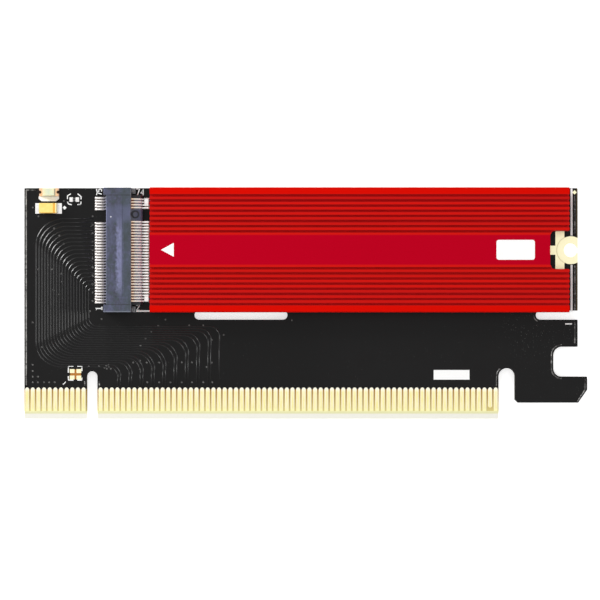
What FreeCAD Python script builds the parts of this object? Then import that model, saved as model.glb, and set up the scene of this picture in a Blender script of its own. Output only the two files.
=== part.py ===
import FreeCAD, Part
import os
import re

import Sketcher
from FreeCAD import Vector

# Adapter card: a full-width card edge on one side of a board, a socket for an edge-mounted module on the
# other, and a grooved heatsink over the module's place. The card lies on its back, component side up.
# X runs along the contact edge from the middle of the key notch, Y runs up the board from that edge and
# Z rises from the back face. Lengths are millimetres; names that end in _count are numbers of copies.
SIZES = {
    # board outline
    "board_thickness": 1.57,
    "board_left": 12.0,  # key notch to the left edge
    "board_right": 86.0,  # key notch to the right edge
    "board_height": 40.9,
    "key_width": 1.9,
    "key_height": 8.45,
    "tab_end": 72.0,  # key notch to the end of the contact tab
    "tab_notch_width": 2.9,
    "tab_notch_height": 9.0,
    "foot_right": 87.7,
    "foot_bottom": 2.9,
    "foot_lead_across": 1.6,
    "foot_lead_up": 2.3,
    "foot_heel": 0.5,
    "latch_left": 81.7,
    "latch_bottom": 7.5,
    "latch_height": 5.3,
    "latch_corner": 1.5,
    "slot_bottom": 17.6,
    "slot_width": 1.6,
    "slot_left": 18.1,
    "slot_length": 16.5,
    "edge_slot_left": 78.6,
    "bevel_height": 1.4,
    "bevel_depth": 0.5,
    # card-edge contacts
    "contact_pitch": 1.0,
    "contact_width": 0.7,
    "contact_thickness": 0.04,
    "contact_top": 5.6,
    "key_to_contact": 1.5,  # key notch to the middle of the nearest contact
    "detect_bottom": 2.0,  # lower end of the shorter, last-mating contacts
    "window_margin": 0.1,  # relief above the contacts
    "short_count": 11,
    "long_count": 71,
    # module screw and the bare pads round it
    "screw_from_edge": 1.2,
    "screw_radius": 1.25,
    "screw_plating": 0.05,
    "ring_radius": 2.47,
    "ring_height": 0.06,
    "ring_gap": 0.08,
    "pad_thickness": 0.035,
    "ground_bar_width": 1.6,
    "ground_bar_length": 8.4,
    "ground_bar_to_screw": 1.14,
    "ground_arm_width": 1.6,
    "ground_arm_length": 2.0,
    "corner_pad_size": 0.56,
    "corner_pad_inset": 0.55,
    "corner_pad_drop": 0.75,
    # module socket
    "socket_rear": 2.75,
    "socket_front": 7.15,
    "socket_length": 21.9,
    "socket_height": 4.1,
    "socket_chamfer": 0.15,
    "socket_lift": 0.1,  # running height of the housing between its end blocks
    "cheek_rear": 0.45,  # step of the end blocks behind the housing
    "cheek_length": 1.35,
    "lip_front": 9.0,
    "lip_height": 1.8,
    "lip_length": 19.4,
    "lip_chamfer": 0.3,
    "mouth_rear": 4.4,
    "mouth_roof": 3.1,
    "mouth_width": 20.0,
    "flare_start": 5.9,
    "flare_rise": 0.5,
    "key_rib_width": 1.15,
    "key_rib_setback": 0.4,
    "dimple_radius": 0.7,
    "dimple_depth": 0.12,
    "dimple_setback": 1.2,
    "band_left": 4.25,
    "band_width": 1.3,
    "band_length": 16.4,
    "band_height": 0.06,
    "peg_offset": 10.0,
    "peg_across": 4.9,
    "peg_radius": 0.55,
    "big_peg_radius": 0.8,
    "peg_length": 1.3,
    "peg_clearance": 0.05,
    # socket contacts
    "row_pitch": 0.5,
    "main_count": 29,
    "upper_end_count": 5,
    "lower_end_count": 4,
    "blank_count": 4,  # places left out at the key
    "stamping_thickness": 0.22,
    "channel_clearance": 0.03,
    "tail_height": 0.25,
    "upper_tail_end": 0.75,
    "upper_leg_rear": 2.5,
    "upper_leg_width": 0.4,
    "lower_tail_end": 10.0,
    "lower_leg_rear": 8.3,
    "lower_leg_width": 0.5,
    "solder_pad_width": 0.3,
    "rear_pad_left": 0.5,
    "rear_pad_right": 2.1,
    "front_pad_left": 9.1,
    "front_pad_right": 10.2,
    # socket hold-downs
    "clip_thickness": 0.2,
    "clip_foot_width": 1.0,
    "clip_foot_length": 0.45,
    "clip_tongue_width": 0.6,
    "clip_tongue_length": 1.2,
    "clip_tongue_height": 1.5,
    "clip_slot_clearance": 0.03,
    "clip_pad_margin": 0.1,
    # cooling
    "heatsink_left": 10.4,
    "heatsink_length": 73.8,
    "heatsink_width": 22.0,  # that of a module; its far side is flush with the board's upper edge
    "heatsink_thickness": 3.0,
    "heatsink_chamfer": 0.15,
    "groove_count": 8,  # on each side of the middle band
    "groove_pitch": 0.9,
    "groove_width": 0.42,
    "groove_depth": 1.2,
    "first_groove": 3.25,  # middle line to the nearest groove
    "recess_depth": 3.4,
    "recess_width": 6.7,
    "recess_corner": 1.0,
    "thermal_pad_thickness": 1.0,
    "thermal_pad_inset": 1.0,
    # lamp
    "lamp_from_left": 4.4,
    "lamp_from_top": 0.73,
    "lamp_length": 3.2,
    "lamp_width": 1.45,
    "lamp_base_height": 0.4,
    "lens_length": 2.0,
    "lens_width": 1.35,
    "lens_height": 0.7,
    "lens_draft": 5.0,
    "terminal_plating": 0.05,
    "lamp_terminal_length": 0.45,
    "castellation_radius": 0.28,
    "lamp_pad_length": 0.75,
    "lamp_pad_reach": 0.15,
    # capacitor
    "capacitor_from_left": 4.3,
    "capacitor_from_top": 3.6,
    "case_length": 3.2,
    "case_width": 1.85,
    "case_height": 1.6,
    "case_draft": 5.0,
    "case_lift": 0.14,
    "lead_thickness": 0.12,
    "lead_width": 1.2,
    "lead_underlap": 0.75,
    "capacitor_pad_length": 1.6,
    "capacitor_pad_reach": 0.75,
    # resistor
    "resistor_from_left": 8.85,
    "resistor_from_top": 2.03,
    "resistor_length": 1.0,
    "resistor_width": 0.5,
    "resistor_height": 0.35,
    "resistor_cap_length": 0.25,
    "resistor_plating": 0.03,
    "resistor_pad_length": 0.62,
    "resistor_pad_width": 0.8,
    "resistor_pad_pitch": 1.08,
    # four bare pads of two unfitted resistors
    "option_from_key": 2.93,
    "option_height": 7.92,
    "option_pad_length": 0.85,
    "option_pad_width": 0.7,
    "option_column_pitch": 1.2,
    "option_row_pitch": 1.15,
}

# Distance by which a cutting shape runs past the surface that it opens.
PAST = 1.0
# Facets of each contact's half-round end; there are hundreds of them, so they are few.
END_FACETS = 5

# Lines that several pieces share, written in the names of the sizes.
MODULE_AXIS = "(board_height - heatsink_width / 2)"
SCREW_X = "(board_right - screw_from_edge)"
FIRST_SHORT = "(0 - key_to_contact - (short_count - 1) * contact_pitch)"
UPPER_FIRST = f"({MODULE_AXIS} - row_pitch * (main_count + blank_count + upper_end_count - 1) / 2)"
LOWER_FIRST = f"({MODULE_AXIS} - row_pitch * (main_count + blank_count + lower_end_count - 1) / 2)"
END_GROUP = "row_pitch * (main_count + blank_count)"
BLANK_MIDDLE = f"({LOWER_FIRST} + row_pitch * (main_count - 1 + (blank_count + 1) / 2))"
CHEEK_TO_CHEEK = "(socket_length - mouth_width) / 2"
CLIP_PITCH = f"(socket_length - {CHEEK_TO_CHEEK})"
PAD_TOP = "(board_thickness + pad_thickness)"
HEATSINK_Z = "(board_thickness + thermal_pad_thickness)"

doc = FreeCAD.newDocument("adapter_card")
sheet = doc.addObject("Spreadsheet::Sheet", "Sizes")
for row, (name, size) in enumerate(SIZES.items(), start=1):
    sheet.set(f"A{row}", name)
    sheet.set(f"B{row}", str(size))
    sheet.setAlias(f"B{row}", name)
doc.recompute()


# ---- formulae and sketches ----


def formula(text):
    """A formula in size names as an expression on the sheet."""
    return re.sub(r"[a-z_]+", lambda word: "Sizes." * (word[0] in SIZES) + word[0], str(text))


def number(text):
    """The present value of a formula in size names."""
    return float(sheet.evalExpression(formula(text)))


def new_body(label, x="0", y="0", z="0"):
    """An empty body whose own origin stands at the given formulae."""
    body = doc.addObject("PartDesign::Body", label)
    body.Label = label
    body.AllowCompound = True
    for axis, place in zip("xyz", (x, y, z)):
        body.setExpression(f"Placement.Base.{axis}", formula(place))
    return body


def datum(body, role):
    return next(part for part in body.Origin.OriginFeatures if part.Role == role)


def new_sketch(body, name, plane="XY_Plane", offset="0"):
    """An empty sketch on one of the body's own planes, moved along the plane's normal."""
    sketch = body.newObject("Sketcher::SketchObject", name)
    sketch.AttachmentSupport = (datum(body, plane), [""])
    sketch.MapMode = "FlatFace"
    sketch.setExpression("AttachmentOffset.Base.z", formula(offset))
    return sketch


def dimension(sketch, kind, where, text):
    """One driving dimension. A zero distance becomes a point on the sketch's axis."""
    if text == "0":
        axis = -2 if kind == "DistanceX" else -1
        sketch.addConstraint(Sketcher.Constraint("PointOnObject", *where[-2:], axis))
        return
    index = sketch.addConstraint(Sketcher.Constraint(kind, *where, number(text)))
    sketch.setExpression(f"Constraints[{index}]", formula(text))


def polygon(sketch, corners):
    """A closed straight-sided outline. Corners are (across, up) formulae; equal neighbours share a line."""
    first, count = sketch.GeometryCount, len(corners)
    points = [Vector(number(across), number(up), 0) for across, up in corners]
    for i in range(count):
        sketch.addGeometry(Part.LineSegment(points[i], points[(i + 1) % count]), False)
    for i in range(count):
        sketch.addConstraint(Sketcher.Constraint("Coincident", first + i, 2, first + (i + 1) % count, 1))
    for i, corner in enumerate(corners):
        for kind, alike, part in (("DistanceX", "Vertical", 0), ("DistanceY", "Horizontal", 1)):
            if i and corner[part] == corners[i - 1][part]:
                sketch.addConstraint(Sketcher.Constraint(alike, first + i - 1))
            else:
                dimension(sketch, kind, (-1, 1, first + i, 1), corner[part])


def rectangle(sketch, left, right, low, high):
    polygon(sketch, [(left, low), (right, low), (right, high), (left, high)])


def centred_rectangle(sketch, middle_x, middle_y, length, width):
    rectangle(
        sketch,
        f"{middle_x} - {length} / 2",
        f"{middle_x} + {length} / 2",
        f"{middle_y} - {width} / 2",
        f"{middle_y} + {width} / 2",
    )


def circle(sketch, across, up, radius):
    centre = Vector(number(across), number(up), 0)
    index = sketch.addGeometry(Part.Circle(centre, Vector(0, 0, 1), number(radius)), False)
    dimension(sketch, "DistanceX", (-1, 1, index, 3), across)
    dimension(sketch, "DistanceY", (-1, 1, index, 3), up)
    dimension(sketch, "Radius", (index,), radius)


def slot(sketch, along, middle, left, right, width, round_ends):
    """A channel between two places along X or Y, whose named ends ("low", "high") are full rounds."""
    turn = along == "Y"
    radius = f"{width} / 2"
    r, m = number(radius), number(middle)
    low = number(left) + (r if "low" in round_ends else 0)
    high = number(right) - (r if "high" in round_ends else 0)

    def point(u, v):
        return Vector(v, u, 0) if turn else Vector(u, v, 0)

    def half_round(u, outwards):
        """The end's arc, drawn through its start, its tip and its finish."""
        start, tip, finish = point(u, m - r), point(u + outwards * r, m), point(u, m + r)
        return Part.Arc(start, tip, finish)

    sides = [Part.LineSegment(point(low, m - r), point(high, m - r)), Part.LineSegment(point(low, m + r), point(high, m + r))]
    ends = [
        half_round(low, -1) if "low" in round_ends else Part.LineSegment(point(low, m - r), point(low, m + r)),
        half_round(high, 1) if "high" in round_ends else Part.LineSegment(point(high, m - r), point(high, m + r)),
    ]
    near, far, first_end, last_end = (sketch.addGeometry(edge, False) for edge in sides + ends)
    along_line, across_line = ("Vertical", "Horizontal") if turn else ("Horizontal", "Vertical")
    along_size, across_size = ("DistanceY", "DistanceX") if turn else ("DistanceX", "DistanceY")
    for side in (near, far):
        sketch.addConstraint(Sketcher.Constraint(along_line, side))
    for end, name, side_end, place, inwards in ((first_end, "low", 1, left, "+"), (last_end, "high", 2, right, "-")):
        corner = sketch.getPoint(near, side_end)
        near_end = 1 if sketch.getPoint(end, 1).distanceToPoint(corner) < r else 2
        joint = "Tangent" if name in round_ends else "Coincident"
        sketch.addConstraint(Sketcher.Constraint(joint, end, near_end, near, side_end))
        sketch.addConstraint(Sketcher.Constraint(joint, end, 3 - near_end, far, side_end))
        if name in round_ends:
            dimension(sketch, along_size, (-1, 1, end, 3), f"{place} {inwards} {radius}")
        else:
            sketch.addConstraint(Sketcher.Constraint(across_line, end))
            dimension(sketch, along_size, (-1, 1, near, side_end), place)
    dimension(sketch, across_size, (-1, 1, near, 1), f"{middle} - {radius}")
    dimension(sketch, across_size, (-1, 1, far, 1), f"{middle} + {radius}")


# ---- features ----


def pad(body, sketch, length, both_ways=False, draft=None):
    """Raise a sketch along its normal, or half of the length each way."""
    feature = body.newObject("PartDesign::Pad", sketch.Name + "_pad")
    feature.Profile = sketch
    feature.Midplane = both_ways
    feature.setExpression("Length", formula(length))
    if draft:
        feature.setExpression("TaperAngle", formula(draft))
    sketch.Visibility = False
    doc.recompute()
    return feature


def pocket(body, sketch, depth=None, both_ways=False):
    """Cut a sketch down from its plane, or through the whole body where no depth is given."""
    before = body.Shape.Volume
    feature = body.newObject("PartDesign::Pocket", sketch.Name + "_cut")
    feature.Profile = sketch
    feature.Midplane = both_ways
    if depth:
        feature.setExpression("Length", formula(depth))
    else:
        feature.Type = "ThroughAll"
    doc.recompute()
    if not feature.Shape.Volume < before:
        raise ValueError(feature.Name + " removes nothing")
    return feature


def repeat(body, features, axis, pitch, count):
    """Copy features in a row along one of the body's axes."""
    row = body.newObject("PartDesign::LinearPattern", features[0].Name + "_row")
    row.Originals = features
    row.Direction = (datum(body, axis), [""])
    row.setExpression("Length", formula(f"{pitch} * ({count} - 1)"))
    row.setExpression("Occurrences", formula(count))
    body.Tip = row
    doc.recompute()
    return row


def round_upright_edges(body, places, radius):
    """Fillet the edges that run along Z at the given (x, y) formulae."""
    wanted = [Vector(number(x), number(y), 0) for x, y in places]
    names = []
    before = body.Tip
    for index, edge in enumerate(before.Shape.Edges, start=1):
        start, end = edge.Vertexes[0].Point, edge.Vertexes[-1].Point
        upright = abs(start.x - end.x) + abs(start.y - end.y) < 1e-6
        if upright and any(Vector(start.x, start.y, 0).distanceToPoint(place) < 1e-4 for place in wanted):
            names.append(f"Edge{index}")
    rounding = body.newObject("PartDesign::Fillet", body.Name + "_corners")
    rounding.Base = (before, names)
    rounding.setExpression("Radius", formula(radius))
    doc.recompute()
    return rounding


def prism(body, name, corners, middle, width):
    """Raise an (X, Z) outline along Y, half of the width to each side of the middle line."""
    sketch = new_sketch(body, name, "XZ_Plane", f"0 - {middle}")
    polygon(sketch, corners)
    return pad(body, sketch, width, both_ways=True)


def prism_cut(body, name, corners, middle, width):
    """Cut an (X, Z) outline along Y, half of the width to each side of the middle line."""
    sketch = new_sketch(body, name, "XZ_Plane", f"0 - {middle}")
    polygon(sketch, corners)
    return pocket(body, sketch, width, both_ways=True)


# ---- board ----


def board_outline(sketch):
    """The board's edge. The latch cut-out and the tab notch are cut afterwards, so it steps inside them."""
    foot_left = "tab_end + tab_notch_width"
    step = "latch_bottom + latch_height / 2"
    heel_top = "foot_bottom + foot_heel"
    polygon(
        sketch,
        [
            ("0 - board_left", "0"),
            ("tab_end", "0"),
            ("tab_end", heel_top),
            (foot_left, heel_top),
            (f"{foot_left} + foot_heel", "foot_bottom"),
            ("foot_right - foot_lead_across", "foot_bottom"),
            ("foot_right", "foot_bottom + foot_lead_up"),
            ("foot_right", step),
            ("board_right", step),
            ("board_right", "board_height"),
            ("0 - board_left", "board_height"),
        ],
    )


def cut_latch_space(body):
    """The open cut-out behind the foot, where the slot's retention latch grips."""
    sketch = new_sketch(body, "latch_space", offset="board_thickness")
    top = "latch_bottom + latch_height"
    rectangle(sketch, "latch_left", f"foot_right + {PAST}", "latch_bottom", top)
    pocket(body, sketch)
    round_upright_edges(body, [("latch_left", "latch_bottom"), ("latch_left", top)], "latch_corner")


def cut_slots(body):
    """Key notch, tab notch, and the two slots that run along the heatsink."""
    key = new_sketch(body, "key_notch", offset="board_thickness")
    slot(key, "Y", "0", f"0 - {PAST}", "key_height", "key_width", ["high"])
    pocket(body, key)
    tab = new_sketch(body, "tab_notch", offset="board_thickness")
    slot(tab, "Y", "tab_end + tab_notch_width / 2", f"0 - {PAST}", "tab_notch_height", "tab_notch_width", ["high"])
    pocket(body, tab)
    middle = "slot_bottom + slot_width / 2"
    closed = new_sketch(body, "closed_slot", offset="board_thickness")
    slot(closed, "X", middle, "slot_left", "slot_left + slot_length", "slot_width", ["low", "high"])
    pocket(body, closed)
    opened = new_sketch(body, "edge_slot", offset="board_thickness")
    slot(opened, "X", middle, "edge_slot_left", f"board_right + {PAST}", "slot_width", ["low"])
    pocket(body, opened)


def cut_round_holes(body):
    """Screw hole with room for its plating, the plated ring's seat in the back, and the two peg holes."""
    screw = new_sketch(body, "screw_hole", offset="board_thickness")
    circle(screw, SCREW_X, MODULE_AXIS, "screw_radius + screw_plating")
    pocket(body, screw)
    seat = new_sketch(body, "ring_seat", offset="contact_thickness")
    circle(seat, SCREW_X, MODULE_AXIS, "ring_radius")
    pocket(body, seat, "contact_thickness")
    pegs = new_sketch(body, "peg_holes", offset="board_thickness")
    circle(pegs, "peg_across", f"{MODULE_AXIS} + peg_offset", "peg_radius + peg_clearance")
    circle(pegs, "peg_across", f"{MODULE_AXIS} - peg_offset", "big_peg_radius + peg_clearance")
    pocket(body, pegs)


def cut_contact_relief(body, name, plane):
    """Where the contacts lie, the board is lower by their thickness, so that they end flush with its face."""
    sketch = new_sketch(body, name, offset=plane)
    right = "tab_end + tab_notch_width / 2"
    rectangle(sketch, f"0 - board_left - {PAST}", right, f"0 - {PAST}", "contact_top + window_margin")
    pocket(body, sketch, "contact_thickness")


def cut_bevels(body):
    """The slanting lead-in on both faces of the contact edge, short of the foot."""
    sketch = new_sketch(body, "bevels", "YZ_Plane")
    for face, outside, inside in (
        ("board_thickness", f"board_thickness + {PAST}", "board_thickness - bevel_depth"),
        ("0", f"0 - {PAST}", "bevel_depth"),
    ):
        polygon(
            sketch,
            [
                ("bevel_height", face),
                ("bevel_height", outside),
                (f"0 - {PAST}", outside),
                (f"0 - {PAST}", inside),
                ("0", inside),
            ],
        )
    pocket(body, sketch, "2 * tab_end + tab_notch_width", both_ways=True)


def make_board():
    body = new_body("circuit_board")
    outline = new_sketch(body, "board_edge")
    board_outline(outline)
    pad(body, outline, "board_thickness")
    cut_latch_space(body)
    cut_slots(body)
    cut_round_holes(body)
    cut_contact_relief(body, "front_relief", "board_thickness")
    cut_contact_relief(body, "back_relief", "contact_thickness")
    cut_bevels(body)
    return body


# ---- card-edge contacts ----


def half_round_facets(middle_x, middle_y, upwards):
    """Corners of a half-round end of a contact, from its right side over the tip to its left side."""
    sign = "+" if upwards else "-"
    corners = []
    for step in range(END_FACETS + 1):
        angle = 180 / END_FACETS * step
        across = f"{middle_x} + contact_width / 2 * cos({angle} deg)"
        corners.append((across, f"{middle_y} {sign} contact_width / 2 * sin({angle} deg)"))
    return corners


def make_contact_row(label, first, count, base, detect=None):
    """A row of straight contacts with round tops. The detect contact's place in the row, from 0, is cut short."""
    body = new_body(label, x=first, z=base)
    sketch = new_sketch(body, label + "_contact")
    side = "contact_width / 2"
    outline = [(f"0 - {side}", "bevel_height"), (side, "bevel_height")]
    polygon(sketch, outline + half_round_facets("0", f"contact_top - {side}", upwards=True))
    repeat(body, [pad(body, sketch, "contact_thickness")], "X_Axis", "contact_pitch", count)
    if detect is not None:
        middle = f"({detect}) * contact_pitch"
        low, end = f"bevel_height - {PAST}", f"detect_bottom + {side}"
        trim = new_sketch(body, label + "_detect", offset="contact_thickness")
        reach = "contact_pitch / 2"
        outline = half_round_facets(middle, end, upwards=False)
        outline += [(f"{middle} - {reach}", end), (f"{middle} - {reach}", low)]
        outline += [(f"{middle} + {reach}", low), (f"{middle} + {reach}", end)]
        polygon(trim, outline)
        pocket(body, trim, "contact_thickness")
    return body


# ---- bare pads ----


def make_annular_ring():
    """Plated-through ring: a flange on each face joined by the barrel, trimmed flush with the board's edge."""
    body = new_body("annular_ring", x=SCREW_X, y=MODULE_AXIS)
    barrel = "screw_radius + screw_plating"
    profile = new_sketch(body, "ring_section", "XZ_Plane")
    polygon(
        profile,
        [
            ("screw_radius", "0"),
            ("ring_radius", "0"),
            ("ring_radius", "contact_thickness"),
            (barrel, "contact_thickness"),
            (barrel, "board_thickness"),
            ("ring_radius", "board_thickness"),
            ("ring_radius", "board_thickness + ring_height"),
            ("screw_radius", "board_thickness + ring_height"),
        ],
    )
    turned = body.newObject("PartDesign::Revolution", "ring")
    turned.Profile = profile
    turned.ReferenceAxis = (datum(body, "Z_Axis"), [""])
    turned.Angle = 360
    doc.recompute()
    trim = new_sketch(body, "ring_trim", offset="board_thickness + ring_height")
    rectangle(trim, "screw_from_edge", "ring_radius + 1", "0 - ring_radius - 1", "ring_radius + 1")
    pocket(body, trim)
    return body


def make_ground_pad():
    """Bar and arm of bare plating, parted from the screw's ring by a fine gap."""
    body = new_body("ground_pad", x=SCREW_X, y=MODULE_AXIS, z="board_thickness")
    right = "0 - ground_bar_to_screw"
    left = f"{right} - ground_bar_width"
    arm_left = f"{left} - ground_arm_length"
    sketch = new_sketch(body, "ground_cross")
    bar, arm = "ground_bar_length / 2", "ground_arm_width / 2"
    polygon(
        sketch,
        [
            (right, f"0 - {bar}"),
            (right, bar),
            (left, bar),
            (left, arm),
            (arm_left, arm),
            (arm_left, f"0 - {arm}"),
            (left, f"0 - {arm}"),
            (left, f"0 - {bar}"),
        ],
    )
    pad(body, sketch, "pad_thickness")
    gap = new_sketch(body, "ground_gap", offset="pad_thickness")
    circle(gap, "0", "0", "ring_radius + ring_gap")
    pocket(body, gap)
    return body


def make_corner_pad():
    """A small square pad that stands on its corner at the top right of the board."""
    body = new_body(
        "corner_pad",
        x="board_right - corner_pad_inset",
        y="board_height - corner_pad_drop",
        z="board_thickness",
    )
    half = "corner_pad_size / sqrt(2)"
    sketch = new_sketch(body, "corner_diamond")
    polygon(sketch, [(f"0 - {half}", "0"), ("0", f"0 - {half}"), (half, "0"), ("0", half)])
    pad(body, sketch, "pad_thickness")
    return body


def make_pad_pair(label, x, y, reach, length, width):
    """Two equal pads whose outer ends lie at the given reach to the left and right of a small part."""
    body = new_body(label, x=x, y=y, z="board_thickness")
    sketch = new_sketch(body, label + "_outline")
    rectangle(sketch, f"{reach} - {length}", reach, f"0 - {width} / 2", f"{width} / 2")
    rectangle(sketch, f"0 - ({reach})", f"{length} - ({reach})", f"0 - {width} / 2", f"{width} / 2")
    pad(body, sketch, "pad_thickness")
    return body


def make_option_pads():
    """Four bare pads in two rows, for two resistors that aren't fitted."""
    body = new_body("option_pads", x="0 - option_from_key", y="option_height", z="board_thickness")
    sketch = new_sketch(body, "option_outline")
    column, row = "option_column_pitch / 2", "option_row_pitch / 2"
    for across in (column, f"(0 - {column})"):
        for up in (row, f"(0 - {row})"):
            centred_rectangle(sketch, across, up, "option_pad_length", "option_pad_width")
    pad(body, sketch, "pad_thickness")
    return body


# ---- module socket ----


def in_both_groups(body, make, first, end_count):
    """Run a row's feature through its main group and through the short group beyond the key."""
    for name, start, count in (("main", first, "main_count"), ("end", f"({first} + {END_GROUP})", end_count)):
        repeat(body, [make(name, start)], "Y_Axis", "row_pitch", count)


def upper_contact_outline():
    """Stamped shape: tail on the board, leg up the rear wall, beam that dips to the contact point and rises."""
    leg_front = "upper_leg_rear + upper_leg_width"
    crest = "socket_front - 1.0"
    return [
        ("upper_tail_end", "pad_thickness"),
        (leg_front, "pad_thickness"),
        (leg_front, "mouth_roof + 0.05"),
        (crest, "mouth_roof - 0.35"),
        ("socket_front - 0.4", "mouth_roof - 0.05"),
        ("socket_front - 0.45", "mouth_roof + 0.1"),
        (crest, "mouth_roof - 0.1"),
        (leg_front, "mouth_roof + 0.4"),
        ("upper_leg_rear", "mouth_roof + 0.4"),
        ("upper_leg_rear", "pad_thickness + tail_height"),
        ("upper_tail_end", "pad_thickness + tail_height"),
    ]


def lower_contact_outline():
    """Stamped shape: tail on the board, leg in the lip, beam that runs back and rises above the lip."""
    leg_front = "lower_leg_rear + lower_leg_width"
    crest = "lower_leg_rear - 1.5"
    return [
        ("lower_tail_end", "pad_thickness"),
        ("lower_leg_rear", "pad_thickness"),
        ("lower_leg_rear", "lip_height - 0.75"),
        ("lower_leg_rear - 1.7", "lip_height - 0.05"),
        ("lower_leg_rear - 2.1", "lip_height - 0.4"),
        ("lower_leg_rear - 2.3", "lip_height - 0.3"),
        (crest, "lip_height + 0.25"),
        (f"{crest} + 0.4", "lip_height + 0.2"),
        (leg_front, "lip_height - 0.35"),
        (leg_front, "pad_thickness + tail_height"),
        ("lower_tail_end", "pad_thickness + tail_height"),
    ]


def make_socket_contacts(label, outline, first, end_count):
    body = new_body(label, z="board_thickness")

    def stamp(name, start):
        return prism(body, f"{label}_{name}", outline, start, "stamping_thickness")

    in_both_groups(body, stamp, first, end_count)
    return body


def raise_housing(body):
    """Housing between the end blocks, the lip in front of it, and the two end blocks that stand on the board."""
    top, shoulder = "socket_height", "socket_height - socket_chamfer"
    rear, front = "socket_rear", "socket_front"
    prism(
        body,
        "housing_middle",
        [
            (rear, "socket_lift"),
            (front, "socket_lift"),
            (front, shoulder),
            (f"{front} - socket_chamfer", top),
            (f"{rear} + socket_chamfer", top),
            (rear, shoulder),
        ],
        MODULE_AXIS,
        "mouth_width",
    )
    prism(
        body,
        "housing_lip",
        [
            ("mouth_rear", "socket_lift"),
            ("lip_front", "socket_lift"),
            ("lip_front", "lip_height - lip_chamfer"),
            ("lip_front - lip_chamfer", "lip_height"),
            ("mouth_rear", "lip_height"),
        ],
        MODULE_AXIS,
        "lip_length",
    )
    cheek_rear = f"{rear} - cheek_rear"
    cheek = prism(
        body,
        "housing_cheek",
        [
            (cheek_rear, "0"),
            (front, "0"),
            (front, shoulder),
            (f"{front} - socket_chamfer", top),
            (f"{cheek_rear} + socket_chamfer", top),
            (cheek_rear, shoulder),
        ],
        f"({MODULE_AXIS} - (socket_length - cheek_length) / 2)",
        "cheek_length",
    )
    repeat(body, [cheek], "Y_Axis", "(socket_length - cheek_length)", "2")
    band = new_sketch(body, "housing_band", offset="socket_height")
    rectangle(
        band,
        "band_left",
        "band_left + band_width",
        f"{MODULE_AXIS} - band_length / 2",
        f"{MODULE_AXIS} + band_length / 2",
    )
    pad(body, band, "band_height")


def open_mouth(body):
    """The module's slot, flared upwards at its front, with the key rib across it."""
    prism_cut(
        body,
        "mouth",
        [
            ("mouth_rear", "lip_height"),
            (f"lip_front + {PAST}", "lip_height"),
            (f"lip_front + {PAST}", "mouth_roof + flare_rise"),
            ("socket_front", "mouth_roof + flare_rise"),
            ("flare_start", "mouth_roof"),
            ("mouth_rear", "mouth_roof"),
        ],
        MODULE_AXIS,
        "mouth_width",
    )
    prism(
        body,
        "key_rib",
        [
            ("mouth_rear", "lip_height"),
            ("flare_start", "lip_height"),
            ("flare_start", "mouth_roof"),
            ("mouth_rear", "mouth_roof"),
        ],
        BLANK_MIDDLE,
        "key_rib_width",
    )
    dimple = new_sketch(body, "dimple", offset="lip_height")
    circle(dimple, "lip_front - dimple_setback", BLANK_MIDDLE, "dimple_radius")
    pocket(body, dimple, "dimple_depth")


def cut_channels(body):
    """One channel for each contact: the upper ones open to the rear, the lower ones to the front and top."""
    width = "stamping_thickness + 2 * channel_clearance"
    leg_front = "upper_leg_rear + upper_leg_width + channel_clearance"
    behind = f"socket_rear - {PAST}"
    upper = [
        (behind, f"0 - {PAST}"),
        (leg_front, f"0 - {PAST}"),
        (leg_front, "mouth_roof - 0.2"),
        ("socket_front - 0.25", "mouth_roof - 0.2"),
        ("socket_front - 0.25", "mouth_roof + 0.45"),
        (behind, "mouth_roof + 0.45"),
    ]
    leg_rear = "lower_leg_rear - channel_clearance"
    ahead = f"lip_front + {PAST}"
    lower = [
        (ahead, f"0 - {PAST}"),
        (leg_rear, f"0 - {PAST}"),
        (leg_rear, "lip_height - 0.85"),
        ("lower_leg_rear - 2.5", "lip_height - 0.85"),
        ("lower_leg_rear - 2.5", "lip_height + 0.4"),
        (ahead, "lip_height + 0.4"),
    ]
    for label, outline, first, end_count in (
        ("upper_channel", upper, UPPER_FIRST, "upper_end_count"),
        ("lower_channel", lower, LOWER_FIRST, "lower_end_count"),
    ):

        def channel(name, start):
            return prism_cut(body, f"{label}_{name}", outline, start, width)

        in_both_groups(body, channel, first, end_count)


def add_pegs(body):
    """Two locating pegs under the end blocks, of different sizes, so that it fits one way round only."""
    for name, place, radius in (
        ("peg", f"{MODULE_AXIS} + peg_offset", "peg_radius"),
        ("big_peg", f"{MODULE_AXIS} - peg_offset", "big_peg_radius"),
    ):
        sketch = new_sketch(body, name, offset="0 - peg_length")
        circle(sketch, "peg_across", place, radius)
        pad(body, sketch, "peg_length + socket_lift + pad_thickness")


def cut_clip_slots(body):
    """A slot in the front of each end block for its clip's tongue."""
    low = "clip_tongue_height - clip_thickness - clip_slot_clearance"
    rear = "socket_front - clip_tongue_length - clip_slot_clearance"
    high, front = "clip_tongue_height + clip_slot_clearance", f"socket_front + {PAST}"
    cut = prism_cut(
        body,
        "clip_slot",
        [(rear, low), (front, low), (front, high), (rear, high)],
        f"({MODULE_AXIS} - {CLIP_PITCH} / 2)",
        "clip_tongue_width + 2 * clip_slot_clearance",
    )
    repeat(body, [cut], "Y_Axis", CLIP_PITCH, "2")


def make_socket_housing():
    body = new_body("socket_housing", z="board_thickness")
    raise_housing(body)
    open_mouth(body)
    add_pegs(body)
    cut_clip_slots(body)
    cut_channels(body)
    return body


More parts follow.
